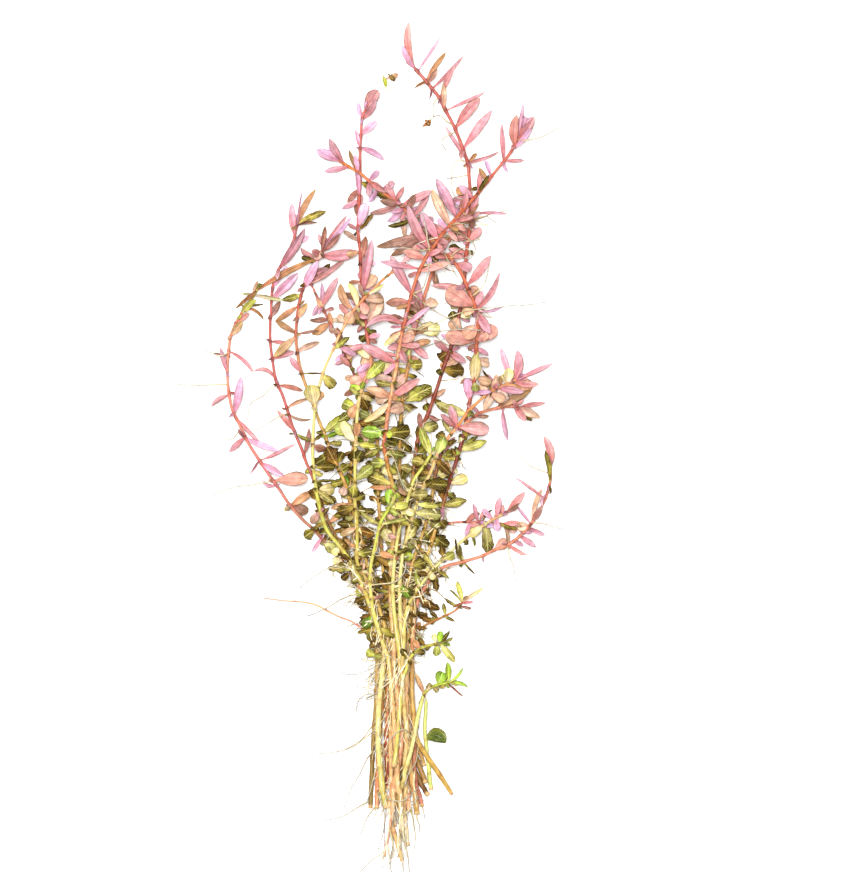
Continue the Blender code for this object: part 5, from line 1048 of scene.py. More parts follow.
# One look for each kind of leaf: colours from base to tip, of rim, underside and veins, and
# how strongly veins, dark blotches and ripples show.
LOOK_KEYS = ("base", "middle", "tip", "rim", "under", "vein", "veins", "blotch", "ripple")
COLOUR_KEYS = LOOK_KEYS[:6]
LOOKS = {
    "p": ((188, 104, 106), (200, 138, 142), (208, 166, 176), (150, 86, 88), (162, 112, 112),
         (166, 84, 86), 0.6, 0.15, 0.5),
    "l": ((204, 130, 158), (214, 168, 196), (214, 190, 224), (176, 112, 142), (176, 124, 144),
         (188, 112, 144), 0.5, 0.1, 0.4),
    "o": ((176, 108, 82), (192, 142, 102), (182, 138, 80), (132, 86, 50), (146, 106, 76),
         (158, 90, 64), 0.5, 0.3, 0.5),
    "t": ((214, 160, 142), (228, 196, 176), (218, 190, 160), (154, 112, 88), (166, 130, 108),
         (170, 116, 94), 0.6, 0.3, 1.2),
    "b": ((164, 100, 94), (168, 116, 104), (150, 108, 84), (100, 64, 52), (134, 96, 84),
         (104, 62, 52), 0.5, 0.35, 0.5),
    "d": ((164, 150, 66), (98, 82, 8), (62, 44, 3), (40, 26, 3), (84, 58, 10),
         (176, 160, 78), 0.5, 0.9, 1.2),
    "g": ((206, 202, 124), (136, 132, 26), (88, 80, 5), (56, 44, 6), (102, 84, 18),
         (206, 198, 112), 0.6, 0.9, 1.2),
    "y": ((218, 212, 142), (184, 188, 74), (146, 156, 32), (122, 120, 26), (158, 156, 60),
         (216, 216, 140), 0.6, 0.65, 0.9),
    "e": ((156, 186, 58), (88, 134, 16), (56, 86, 8), (42, 58, 8), (82, 106, 26),
         (150, 178, 72), 0.6, 0.5, 0.6),
    "v": ((200, 226, 96), (156, 210, 46), (118, 178, 30), (92, 122, 24), (134, 170, 54),
         (208, 230, 116), 0.5, 0.35, 0.6),
    "c": ((170, 122, 44), (122, 80, 16), (82, 48, 7), (56, 34, 6), (106, 72, 22),
         (192, 152, 86), 0.5, 0.85, 1.6),
    "r": ((206, 132, 122), (218, 158, 148), (214, 166, 146), (158, 102, 92), (168, 124, 112),
         (172, 98, 92), 0.4, 0.2, 0.6),
    "w": ((228, 194, 172), (228, 206, 170), (208, 208, 124), (172, 162, 80), (184, 168, 120),
         (232, 222, 188), 0.5, 0.2, 0.8),
    "m": ((106, 120, 48), (66, 84, 22), (82, 98, 34), (134, 146, 66), (96, 108, 44),
         (40, 52, 12), 0.6, 0.3, 0.3),
}

# Leaves of a kind take after others a little, and one in so many of them strongly.
TAKES_AFTER = {"m": ("m", 9), "p": ("lplr", 4), "l": ("p", 3), "o": ("tw", 4), "d": ("gc", 3),
               "g": ("wy", 4), "r": ("pt", 4), "b": ("tp", 5), "y": ("wv", 5), "w": ("y", 8), "c": ("dg", 4),
               "e": ("e", 2), "v": ("y", 4), "t": ("or", 4)}

# Leaves that look unlike the rest of their kind, by stem and place in its list.
STANDOUTS = {
    ("v", 0): "m", ("g", 10): "b", ("f", 10): "c", ("a", 19): "c", ("a", 20): "c", ("h", 8): "w",
    ("g", 31): "w", ("o", 5): "t", ("o", 9): "t", ("o_side", 3): "t", ("t", 0): "y", ("t", 1): "w",
    ("t", 2): "y", ("n", 0): "v", ("k", 20): "e", ("u", 0): "v", ("u", 4): "v", ("u", 5): "v",
    ("u", 8): "v", ("t", 3): "v", ("o", 21): "e", ("i", 19): "e", ("k", 22): "c", ("p", 10): "c",
    ("p", 11): "c", ("r", 15): "c", ("n", 6): "c", ("n", 7): "c", ("f", 15): "t",
}
HALF_MOON = ("v", 0)  # the leaf whose lower half is folded under
TUCK = 0.2  # how much of that half is still seen
MOON_BULGE = 1.9  # how much fuller its other half is
RAGGED = {"d": 0.1, "g": 0.08, "c": 0.15, "w": 0.05, "y": 0.05, "e": 0.04}  # of the width
ROOT_PAINTS = ((232, 220, 178), (226, 208, 148), (216, 188, 130), (236, 230, 204),
               (232, 222, 182), (206, 168, 120))
THREAD_PAINTS = ((196, 180, 126), (180, 164, 108), (208, 194, 144))
GREY_ROOT = (166, 162, 156)
# dark ends of some fine roots: partly dark roots, partly painted shadow lines beside the pale roots
DARK_ROOT_AND_PAINTED_SHADOW = (92, 78, 66)
FOOT_PAINTS = ((240, 234, 214), (232, 224, 196), (214, 210, 202), (226, 208, 160))
PITH = (196, 160, 110)
STEM_SHADE = (0.82, 0.79, 0.66)  # light a stem gives back, beside its swatch
DUSK = (0.6, 0.85, 1.1)  # how much of red, green and blue a shaded side loses
NODE_DUSK = (0.6, 1.0, 1.0)  # the same for a joint

# Blades.
LEAF_ROWS = 13  # cross sections along a leaf
FULLNESS = 1.08  # of a leaf's width, beside its solid's
ROW_CROWDING = 1.4  # how much closer the sections are toward the tip
ACROSS = np.array((-1.0, -0.76, -0.42, -0.12, 0.0, 0.12, 0.42, 0.76, 1.0))
LEAF_SKIN = 0.2 * MM  # thickness of a leaf at its midrib
PETIOLE = 0.6 * MM
RIB = 0.12 * MM
RIPPLE = 0.34 * MM
RIB_SPREAD = 0.1
RIB_ABOVE = 0.35  # how deep the midrib is sunk above, beside how far it stands out below
SMOOTH_EDGE = 0.02  # how uneven an ordinary rim is, of the width
LONG_BITES = (5, 11)  # how fast the rim of a blade goes in and out
SHORT_BITES = (14, 26)
BLADE_BROAD = (1.0, 0.5)  # powers that shape a broad blade
BLADE_SLIM = (0.84, 0.7)
BLADE_VARIES = (0.85, 1.2)
BLADE_ENDS = (0.004, 0.997)  # a blade has a little width at its very ends
BROAD_FOLD = (0.0, 0.28)  # least and most, of half the width
SLIM_FOLD = (0.05, 0.5)
DROOP = (-0.05, 0.14)  # least and most, of the length
LOWEST_BLADE = 0.25 * MM
TWIST = 0.45
TWIST_FROM = 0.15
CUP = 1.2
TURN = 6.28
WAVES = (1.4, 3.4)  # fewest and most ripples along a blade
WAVE_SHIFT = 1.7
MIDDLE_AT = 0.45  # where a blade has its middle colour
LEFT_PAINTED_SHADE = (0.62, 1.0)  # painted shade of the left half blade, as the share of its colour kept: least and most
# the same for the right half blade, which may come out a little lighter
RIGHT_PAINTED_SHADE = (0.82, 1.05)
# tint of the painted shade on a half blade
PAINTED_SHADE_TINT = (1.0, 0.96, 0.95)
RIM_FROM = 0.6  # share of the way to the rim where it starts to look dry
RIM_STRENGTH = 0.6
KIN_SHARE = (0.0, 0.3)  # how much most leaves take after another kind
STRONG_KIN_SHARE = (0.5, 0.9)
WARMTH_VARIES = 0.05
LIGHT_VARIES = 0.1

# Skins of the stems.
STEM_SHARE = ((560, 620, 790, 840), (0.71, 0.9, 0.9, 0.78))  # rows; of the solid's radius
BARE_NODES = 11.0 * MM  # from node to node where no leaf is left
STEM_SIDES = 12
STEM_STEP = 0.7 * MM
NODE_SWELL = 0.32
NODE_SPAN = 0.7 * MM
NODE_SHADE = 0.4  # how much darker a joint is
LUMP_SPAN = 3.1 * MM
LUMP_SHARE = 0.04
TIP_SPAN = 1.4 * MM  # a stem thins over this length to its tip
TIP_SHARE = 0.45
STEM_PAINTED_SHADE = 0.6  # how strong the painted shade on a stem's underside is

# Skins of the root threads and fine roots.
ROOT_SIDES = 4
ROOT_STEP = 1.0 * MM
SWAY = 0.45  # in mm
SWAY_SPAN = 60 * MM
SWAY_WAVES = (2.0, 4.5, 9.0)
# how strong the painted shade on a root's underside is
ROOT_PAINTED_SHADE = 0.3
THINNEST_THREAD = 0.2 * MM
THREAD_THINS = 0.75  # share of its radius that a thread ends with
FINE_ROOT_THINS = 0.5
SCRAP_THINS = 0.4

# How far down, up and out anything may reach.
FLOOR_CLEAR = 0.04 * MM
CEILING = 18.9 * MM
EDGE = 0.25 * MM
INSIDE = (np.array(CAD_BOX[0][:2]) + EDGE, np.array(CAD_BOX[1][:2]) - EDGE)

STEM, LEAF, ROOT = range(3)  # material slots

# Seeds of the random draws.
LOOK_SEED = 1000
PARTNER_SEED = 2000
THICKET_SEED = 77
ROOT_SEED = 404


def linear(colour):
    """A daylight colour of 0 to 255 as the share of light that the skin gives back."""
    share = np.asarray(colour, float) / 255.0
    return np.where(share <= 0.04045, share / 12.92, ((share + 0.055) / 1.055) ** 2.4)


class Skin:
    """The mesh of one piece while it grows: corners, faces and what the paint reads."""

    def __init__(self):
        self.count = 0
        self.spots = []
        self.tints = []
        self.veins = []
        self.marks = []
        self.traits = []
        self.faces = []
        self.slots = []

    def add(self, spots, faces, tints, marks, slot, vein=(0.0, 0.0, 0.0), traits=(0.0, 0.0, 0.0)):
        spots = np.asarray(spots, float).reshape(-1, 3)
        self.spots.append(spots)
        self.tints.append(np.broadcast_to(tints, spots.shape))
        self.veins.append(np.broadcast_to(vein, spots.shape))
        self.marks.append(np.broadcast_to(marks, spots.shape))
        self.traits.append(np.broadcast_to(traits, spots.shape))
        self.faces.extend(tuple(k + self.count for k in face) for face in faces)
        self.slots.extend([slot] * len(faces))
        self.count += len(spots)

    def build(self, name, materials):
        """The finished piece, in the scene."""
        mesh = bpy.data.meshes.new(name)
        spots = np.vstack(self.spots)
        mesh.from_pydata(spots.tolist(), [], self.faces)
        for label, values in (("tint", self.tints), ("vein", self.veins)):
            colours = np.hstack((np.vstack(values), np.ones((len(spots), 1))))
            layer = mesh.attributes.new(label, "FLOAT_COLOR", "POINT")
            layer.data.foreach_set("color", colours.ravel())
        for label, values in (("mark", self.marks), ("traits", self.traits)):
            layer = mesh.attributes.new(label, "FLOAT_VECTOR", "POINT")
            layer.data.foreach_set("vector", np.vstack(values).ravel())
        for material in materials:
            mesh.materials.append(material)
        mesh.polygons.foreach_set("material_index", self.slots)
        mesh.shade_smooth()
        mesh.validate()
        thing = bpy.data.objects.new(name, mesh)
        bpy.context.scene.collection.objects.link(thing)
        return thing


def mixed(stops, places, spots):
    """Colours read between stops along a line."""
    columns = [np.interp(spots, places, [stop[c] for stop in stops]) for c in range(3)]
    return np.stack(columns, axis=1)


def leaf_look(kind, dice):
    """The colours of one leaf, a little different from its neighbours'."""
    neighbours, one_in = TAKES_AFTER[kind]
    neighbour = dict(zip(LOOK_KEYS, LOOKS[neighbours[int(dice.integers(len(neighbours)))]]))
    look = dict(zip(LOOK_KEYS, LOOKS[kind]))
    share = dice.uniform(*(KIN_SHARE if dice.integers(one_in) else STRONG_KIN_SHARE))
    warm = dice.normal(0.0, WARMTH_VARIES)
    light = 1.0 + dice.normal(0.0, LIGHT_VARIES)
    for key in COLOUR_KEYS:
        colour = linear(look[key]) * (1 - share) + linear(neighbour[key]) * share
        colour = colour * light * np.array((1 + warm, 1.0, 1 - warm))
        look[key] = np.clip(colour, 0.0, 1.0)
    return look


def blade_frames(shape, u, dice):
    """The drooping centre line of a blade, with its side and up vectors, a little twisted."""
    line = leaf_point(shape, u[:, None])
    droop = dice.uniform(*DROOP) * shape["length"]
    line[:, 2] = np.maximum(line[:, 2] - droop * u ** 3, LOWEST_BLADE)
    ahead = along(line)
    side = shape["flat"] - ahead * (ahead @ shape["flat"])[:, None]
    side /= np.linalg.norm(side, axis=1)[:, None]
    up = np.cross(side, ahead)
    twist = (dice.normal(0.0, TWIST) * np.maximum(u - TWIST_FROM, 0.0))[:, None]
    return line, side * np.cos(twist) + up * np.sin(twist), up * np.cos(twist) - side * np.sin(twist)


def blade_outline(shape, u, tuck, dice):
    """Share of its full width along a blade: wedge foot and full belly, or a half moon."""
    rise, fall = BLADE_BROAD if shape["broad"] else BLADE_SLIM
    rise *= dice.uniform(*BLADE_VARIES)
    if tuck < 1.0:
        return (4 * u * (1 - u)) ** 0.5
    return np.array([full_width(x, rise, fall) for x in np.clip(u, *BLADE_ENDS)])


def blade_heights(shape, ripple, u, share, dice):
    """How high a blade's two faces stand off its flat: cupped, rippled, ribbed below."""
    sign = 1.0 if shape["lift"] >= 0 else -1.0
    fold = dice.uniform(*BROAD_FOLD) if shape["broad"] else dice.uniform(*SLIM_FOLD)
    fold = shape["lift"] + sign * fold * shape["half"]
    waves = dice.uniform(*WAVES)
    phase = dice.uniform(0.0, TURN)
    wave = np.sin(TURN * waves * u[:, None] + phase + (ACROSS > 0) * WAVE_SHIFT) * ACROSS ** 2
    depth = RIPPLE * ripple * min(1.0, shape["half"] / MM)
    rise = fold * share[:, None] * np.abs(ACROSS) ** CUP + depth * share[:, None] * wave
    body = LEAF_SKIN / 2 * (1 - ACROSS ** 2) * np.maximum(share, 0.25)[:, None]
    rib = RIB * np.exp(-(ACROSS / RIB_SPREAD) ** 2) * (1 - u[:, None]) ** 0.5
    return rise + body - rib * RIB_ABOVE, rise - body - rib


def blade_reach(ragged, u, tuck, dice):
    """How far each point across a blade reaches out, beside an even edge."""
    reach = np.ones((LEAF_ROWS, len(ACROSS)))
    for half_blade in (ACROSS < 0, ACROSS > 0):
        bite = np.sin(dice.uniform(*LONG_BITES) * u + dice.uniform(0, TURN))
        bite = bite + np.sin(dice.uniform(*SHORT_BITES) * u + dice.uniform(0, TURN))
        reach[:, half_blade] += (ragged * bite)[:, None]
    if tuck < 1.0:
        reach[:, ACROSS > 0] *= tuck
        reach[:, ACROSS < 0] *= MOON_BULGE
    return reach


def blade_tints(look, u, dice):
    """Colours over a blade: base to tip, each half darkened by its own painted shade, dry rim."""
    colour = mixed((look["base"], look["middle"], look["tip"]), (0.0, MIDDLE_AT, 1.0), u)
    # painted shade: each half of the blade is darkened by a random share, as a fold would shade it
    painted_shade = np.where(ACROSS < 0, dice.uniform(*LEFT_PAINTED_SHADE), dice.uniform(*RIGHT_PAINTED_SHADE))
    painted_shade = painted_shade[None, :, None] * np.array(PAINTED_SHADE_TINT)
    rim = np.clip((np.abs(ACROSS) - RIM_FROM) / (1 - RIM_FROM), 0, 1)[None, :, None] * RIM_STRENGTH
    return colour[:, None] * painted_shade * (1 - rim) + look["rim"] * rim


def grow_leaf(skin, kind, shape, dice, tuck=1.0):
    """One leaf as a thin closed skin, folded at its midrib, curled and rippled."""
    look = leaf_look(kind, dice)
    u = 1.0 - (1.0 - np.linspace(0.0, 1.0, LEAF_ROWS)) ** ROW_CROWDING
    line, side, up = blade_frames(shape, u, dice)
    share = blade_outline(shape, u, tuck, dice)
    half = np.maximum(shape["half"] * FULLNESS * share, PETIOLE / 2 * (1 - u) ** 2)
    top, low = blade_heights(shape, look["ripple"], u, share, dice)
    reach = blade_reach(RAGGED.get(kind, SMOOTH_EDGE), u, tuck, dice)
    flat_part = line[:, None] + side[:, None] * (half[:, None] * ACROSS * reach)[..., None]
    upper = flat_part + up[:, None] * top[..., None]
    lower = flat_part + up[:, None] * low[..., None]
    inner = slice(len(ACROSS) - 2, 0, -1)
    spots = np.concatenate((upper, lower[:, inner]), axis=1)
    sunk = max(0.0, FLOOR_CLEAR - float(spots[..., 2].min()))
    spots[..., 2] += sunk * u[:, None]
    spots[..., 2] = np.maximum(spots[..., 2], FLOOR_CLEAR)
    upper_tint = blade_tints(look, u, dice)
    lower_tint = np.broadcast_to(look["under"], lower.shape)
    tints = np.concatenate((upper_tint, lower_tint[:, inner]), axis=1)
    seed = dice.uniform(0.0, 1.0)
    marks = np.zeros(spots.shape)
    marks[..., 0] = u[:, None]
    marks[..., 1] = np.concatenate((ACROSS, ACROSS[inner]))
    marks[..., 2] = seed
    faces = ring_faces(LEAF_ROWS, spots.shape[1])
    traits = (look["veins"], look["blotch"], seed)
    skin.add(spots, faces, tints.reshape(-1, 3), marks.reshape(-1, 3), LEAF, look["vein"], traits)


def grow_tube(skin, line, radius, sides, tints, slot, painted_shade):
    """A round skin along a line, with painted shade on its underside. Its mark gives the way round."""
    angles = np.arange(sides) * (2 * math.pi / sides)
    run = run_along(line)
    tints = np.broadcast_to(tints, line.shape)
    spots = []
    marks = []
    paint = []
    for k, (forward, side) in enumerate(frames(line)):
        up = np.cross(forward, side)
        spoke = np.outer(np.cos(angles), side) + np.outer(np.sin(angles), up)
        spots.append(line[k] + spoke * radius[k])
        marks.append(np.column_stack((np.cos(angles), np.sin(angles), np.full(sides, run[k] / MM))))
        # painted shade: the more a side of the tube faces down, the darker its colour is painted, as if in
        # shadow
        low = np.clip(1.0 - spoke[:, 2], 0.0, 1.0) ** 2
        paint.append(tints[k] * (1.0 - painted_shade * low[:, None] * np.array(DUSK)))
    spots = np.vstack(spots)
    spots[:, 2] = np.maximum(spots[:, 2], FLOOR_CLEAR)
    skin.add(spots, ring_faces(len(line), sides), np.vstack(paint), np.vstack(marks), slot)


def grow_stem(skin, name, line, radius, nodes, dice):
    """A stem that swells at each of its nodes and changes colour toward its foot."""
    both = resample(np.column_stack((line, radius)), STEM_STEP)
    line = both[:, :3]
    radius = both[:, 3]
    run = run_along(line)
    swell = np.zeros(len(line))
    spots = [run[int(np.argmin(np.linalg.norm(line - node, axis=1)))] for node in nodes]
    last = max(spots, default=0.0)
    spots.extend(np.arange(last + BARE_NODES, run[-1] - BARE_NODES / 2, BARE_NODES))
    for spot in spots:
        swell = np.maximum(swell, np.exp(-((run - spot) / NODE_SPAN) ** 2))
    lumps = np.sin(run / LUMP_SPAN + dice.uniform(0, 6)) * LUMP_SHARE
    rows = rows_of(line)
    share = np.interp(rows, *STEM_SHARE) * (1.0 + NODE_SWELL * swell + lumps)
    radius = radius * np.minimum(share, 1.0)
    ends = np.minimum(run / TIP_SPAN, 1.0)
    radius = radius * (TIP_SHARE + (1 - TIP_SHARE) * ends)
    if name in SLIM_FEET:
        radius = radius * np.interp(rows, *SLIM_FEET[name])
    places = [row for row, _ in STEM_PAINTS[name]]
    paints = [linear(PAINTS[paint]) for _, paint in STEM_PAINTS[name]]
    tints = mixed(paints, places, rows) * np.array(STEM_SHADE)
    tints = tints * (1.0 - NODE_SHADE * swell[:, None] * np.array(NODE_DUSK))
    tints[-2:] = linear(PITH)
    grow_tube(skin, line, radius, STEM_SIDES, tints, STEM, STEM_PAINTED_SHADE)


def grow_root(skin, points, radius, dice, near, far, thin):
    """A root thread that wanders a little about its path and thins toward its end."""
    line = resample(points, ROOT_STEP)
    count = len(line)
    sway = np.zeros((count, 3))
    for waves in SWAY_WAVES:
        turn = np.linspace(0.0, waves * TURN * count * ROOT_STEP / SWAY_SPAN, count)
        shift = np.sin(turn + dice.uniform(0, TURN)) * SWAY * MM / waves
        sway[:, 0] += shift
        sway[:, 1] += shift * dice.uniform(-1, 1)
    sway *= np.minimum(np.arange(count) / 3.0, 1.0)[:, None]
    line = line + sway
    width = np.linspace(radius, radius * thin, count)
    line[:, 2] = np.maximum(line[:, 2], width + FLOOR_CLEAR)
    line[:, :2] = np.clip(line[:, :2], INSIDE[0] + radius, INSIDE[1] - radius)
    tints = mixed((near, far), (0.0, 1.0), np.linspace(0.0, 1.0, count))
    grow_tube(skin, line, width, ROOT_SIDES, tints, ROOT, ROOT_PAINTED_SHADE)


# Leaves added to the solid ones: partners, young leaves and thickets.
LOW_TIP = 0.5 * MM
LEAF_AIR = 0.04 * MM  # air kept round the added leaves
LOST_PARTNERS = 0.25  # share of the leaves whose partner is gone
PARTNER_TURN = 0.7  # how far a partner strays from straight across, in radians
PARTNER_SIZE = (0.35, 0.7)  # smallest and largest, beside the leaf seen
STANDING = (0.85, 1.25)  # least and most, in radians
LYING_UNDER = (0.8, 1.2)
BUD_LEAVES = 7
BUD_TURN = 2.4  # from one young leaf to the next, in radians
BUD_WIDTH = 0.36  # of the length
THICKET_TRIES = 14
THICKET_TILT = (-0.7, 0.55)  # lowest and highest, in radians
THICKET_SPREAD = (1.05, 0.8)  # how far leaves reach across the picture and along it
THICKET_STRAY = 8  # columns or rows out of the box
SLIM_KINDS = "plobc"
SLIM_LENGTH = (13, 25)  # shortest and longest, in picture units
BROAD_LENGTH = (11, 22)
SLIM_WIDTH = (0.24, 0.36)  # least and most, of the length
BROAD_WIDTH = (0.5, 0.74)

# Fine roots.
ROOT_PACE = 1.6  # in mm, as are the next two
DEEPEST = 3.0
ROOT_RADIUS = (0.15, 0.28)
ROOT_LOW = 0.12 * MM
ROOT_AIR = 0.1 * MM
FEWEST_POINTS = 4
FIRST_TURN = 0.25  # of how much a root curls
NEXT_TURN = 0.3
TURN_KEPT = 0.9
TURN_SHARE = 0.5
GREYER = 0.6  # share of the ends that turn grey, not dark

# Kind of the small leaves at each stem's growing tip, and their length in mm.
BUDS = {
    "a": ("p", 3.4), "b": ("l", 4.2), "f": ("p", 3.4), "g": ("l", 4.4), "h": ("p", 2.8),
    "i": ("w", 2.6), "j": ("l", 2.8), "k": ("p", 2.8), "l": ("y", 2.2), "m": ("y", 2.4),
    "n": ("y", 2.8), "o": ("p", 3.0), "o_side": ("p", 3.0), "p": ("p", 3.2), "q": ("b", 2.4),
    "r": ("p", 2.8), "s": ("o", 2.0), "t": ("y", 2.4), "u": ("y", 2.2), "x": ("l", 3.0),
    "w": ("g", 2.4), "d": ("d", 2.2),
}

# Thickets of leaves that crowd the middle of the bunch: columns and rows of the box,
# how many leaves, their kinds, the stems that bear them, and their size.
THICKETS = [
    ((372, 474, 188, 262), 52, "ppplpobp", "bgfa", 1.0),
    ((346, 410, 176, 232), 10, "ppbp", "fg", 1.0),
    ((290, 372, 236, 330), 22, "ppplbot", "jkxlf", 1.0),
    ((340, 500, 296, 380), 84, "tpotwtbrtlp", "fbgixah", 1.0),
    ((318, 400, 372, 440), 20, "gcdytw", "ikxfb", 1.0),
    ((380, 470, 372, 440), 16, "dcgdtb", "bgahdo", 1.0),
    ((312, 400, 440, 520), 34, "dgwdgcedwd", "ikfxbwjl", 1.0),
    ((390, 466, 440, 520), 26, "ddcdgwgc", "bagdhmon", 1.0),
    ((312, 400, 520, 596), 26, "cddcygcdc", "ifxkwjlb", 1.0),
    ((388, 462, 520, 600), 26, "cddcygcdc", "agdhbmoqrp", 1.0),
    ((312, 400, 450, 600), 56, "cgdwtydc", "ifxkwjlb", 0.7),
    ((388, 466, 440, 604), 44, "cdtwtwdg", "agdhbmoqrp", 0.7),
    ((352, 440, 590, 660), 16, "cccdc", "jlbgahdi", 0.9),
    ((362, 392, 606, 664), 18, "cgcdyc", "jlkxi", 0.8),
    ((408, 440, 588, 652), 14, "ccdgyc", "rdatsq", 0.8),
    ((486, 550, 370, 420), 14, "ptlw", "o", 1.0),
    ((470, 550, 496, 552), 10, "plrlp", "rpq", 1.0),
]


def fit_leaf(crowd, name, base, tip, width, side_up):
    """The shape of a leaf from base to tip, if it touches nothing there."""
    if not LOW_TIP < tip[2] < CEILING:
        return None
    shape = leaf_shape(base, tip, width, 0.0, side_up)
    verts, faces = leaf_solid(shape, LEAF_AIR)
    if not crowd.free(name, verts, faces, True):
        return None
    crowd.add(name, verts, faces)
    return shape


def free_leaf(crowd, name, line, spec, tilt, side_up):
    """A leaf laid at one given tilt, if it has room there."""
    node_col, node_row, tip_col, tip_row, width = spec
    base = line[node_on(line, node_col, node_row)]
    reach = (place(tip_col, tip_row) - base)[:2]
    span = float(np.linalg.norm(reach))
    tip = base + np.array((reach[0] * math.cos(tilt), reach[1] * math.cos(tilt), span * math.sin(tilt)))
    return fit_leaf(crowd, name, base, tip, width * PX, side_up)


def fill_thickets(crowd, settled):
    """The many half-hidden leaves of the crowded middle, found room for one by one."""
    dice = np.random.default_rng(THICKET_SEED)
    found = {name: [] for name in settled}
    for box, count, kinds, stems, size in THICKETS:
        left, right, top, bottom = box
        choices = [(name, k) for name in stems for k in points_in(settled[name][0], box)]
        for _ in range(count):
            kind = kinds[int(dice.integers(len(kinds)))]
            slim = kind in SLIM_KINDS
            for _ in range(THICKET_TRIES):
                name, k = choices[int(dice.integers(len(choices)))]
                line = settled[name][0]
                col = columns_of(line)[k]
                row = rows_of(line)[k]
                turn = dice.uniform(0.0, 2 * math.pi)
                length = size * (dice.uniform(*SLIM_LENGTH) if slim else dice.uniform(*BROAD_LENGTH))
                tip_col = col + math.cos(turn) * length * THICKET_SPREAD[0]
                tip_row = row - math.sin(turn) * length * THICKET_SPREAD[1]
                if not left - THICKET_STRAY < tip_col < right + THICKET_STRAY:
                    continue
                if not top - THICKET_STRAY < tip_row < bottom + THICKET_STRAY:
                    continue
                width = length * (dice.uniform(*SLIM_WIDTH) if slim else dice.uniform(*BROAD_WIDTH))
                tilt = dice.uniform(*THICKET_TILT)
                spec = (col, row, tip_col, tip_row, width)
                shape = free_leaf(crowd, name, line, spec, tilt, dice.choice((-1, 1)))
                if shape is not None:
                    found[name].append((kind, shape))
                    break
    return found


def partners(crowd, name, leaves, dice):
    """The leaf across the stem from each one seen, standing up or lying under it."""
    found = []
    for kind, shape, _, _ in leaves:
        if dice.uniform() < LOST_PARTNERS:
            continue
        turn = math.pi + dice.uniform(-PARTNER_TURN, PARTNER_TURN)
        flat = np.array(turned(shape["tip"] - shape["base"], turn))
        size = dice.uniform(*PARTNER_SIZE)
        for tilt in (dice.uniform(*STANDING), -dice.uniform(*LYING_UNDER)):
            flat_size = size * math.cos(tilt)
            rise = float(np.linalg.norm(flat)) * size * math.sin(tilt)
            tip = shape["base"] + np.array((flat[0] * flat_size, flat[1] * flat_size, rise))
            small = fit_leaf(crowd, name, shape["base"], tip, shape["half"] * 2 * size, 1)
            if small is not None:
                found.append((kind, small))
                break
    return found


def bud(name, line, dice):
    """The cluster of young leaves round a growing tip."""
    if name not in BUDS:
        return []
    kind, size = BUDS[name]
    axis = line[0] - line[3]
    axis /= np.linalg.norm(axis)
    side = np.cross(axis, UPRIGHT)
    side /= np.linalg.norm(side)
    up = np.cross(side, axis)
    found = []
    for k in range(BUD_LEAVES):
        turn = k * BUD_TURN + dice.uniform(-0.3, 0.3)
        lean = 0.22 + 0.1 * (k % 4) + dice.uniform(-0.05, 0.05)
        away = side * math.cos(turn) + up * math.sin(turn)
        base = line[0] + axis * (0.3 - 0.25 * (k // 2)) * MM
        length = size * MM * (0.65 + 0.12 * (k % 4))
        tip = base + (axis * math.cos(lean) + away * math.sin(lean)) * length
        tip[2] = min(max(tip[2], LOW_TIP), CEILING)
        found.append((kind, leaf_shape(base, tip, length * BUD_WIDTH, 0.0, 1)))
    return found


# Where fine roots spring: columns and rows of the box, how many, shortest and longest
# in mm, the way they head in degrees (0 right, -90 toward the foot), how far that
# spreads, how much they curl, how grey they are, and how many columns they may stray.
ROOT_BEDS = [
    ((374, 420, 560, 640), 40, 12, 34, -94, 26, 0.3, 0.0, 8),
    ((384, 414, 590, 660), 16, 14, 26, -116, 9, 0.1, 0.0, 30),
    ((418, 448, 520, 600), 50, 4, 12, -90, 180, 0.8, 0.15, 12),
    ((336, 378, 520, 600), 50, 4, 13, -90, 180, 0.8, 0.15, 14),
    ((376, 416, 640, 720), 34, 16, 40, -92, 14, 0.16, 0.0, 4),
    ((376, 420, 700, 790), 32, 10, 22, -94, 20, 0.2, 0.1, 4),
    ((382, 414, 770, 850), 12, 14, 28, -91, 14, 0.12, 0.5, 8),
    ((384, 412, 800, 856), 14, 10, 22, -90, 9, 0.06, 0.6, 10),
    ((366, 384, 588, 700), 36, 5, 15, -150, 50, 0.6, 0.8, 40),
    ((372, 386, 690, 806), 6, 8, 22, -125, 25, 0.25, 0.7, 40),
    ((412, 434, 590, 680), 10, 4, 9, -70, 50, 0.6, 0.8, 12),
    ((340, 450, 440, 600), 150, 6, 20, -90, 160, 0.6, 0.1, 12),
    ((330, 460, 380, 450), 26, 5, 14, -90, 160, 0.6, 0.1, 12),
    ((400, 470, 200, 340), 22, 8, 22, -70, 120, 0.5, 0.1, 40),
    ((330, 350, 500, 590), 8, 4, 10, -150, 60, 0.6, 0.8, 30),
]


def wander(spot, longest, angle, curl, dice):
    """A flat path of even steps from a spot, that turns more the more it curls."""
    turn = dice.normal(0.0, curl * FIRST_TURN)
    flat = [spot[:2]]
    for _ in range(int(longest * MM / (ROOT_PACE * MM))):
        turn = turn * TURN_KEPT + dice.normal(0.0, curl * NEXT_TURN)
        angle += turn * TURN_SHARE
        flat.append(flat[-1] + np.array((math.cos(angle), math.sin(angle))) * ROOT_PACE * MM)
    return np.array(flat)


def kept_inside(flat, left, right):
    """The part of a flat path before it leaves the bunch or strays past two columns."""
    cols = columns_of(flat)
    inside = ((flat > INSIDE[0]) & (flat < INSIDE[1])).all(axis=1)
    inside &= (cols > left) & (cols < right)
    return flat if inside.all() else flat[:int(np.argmin(inside))]


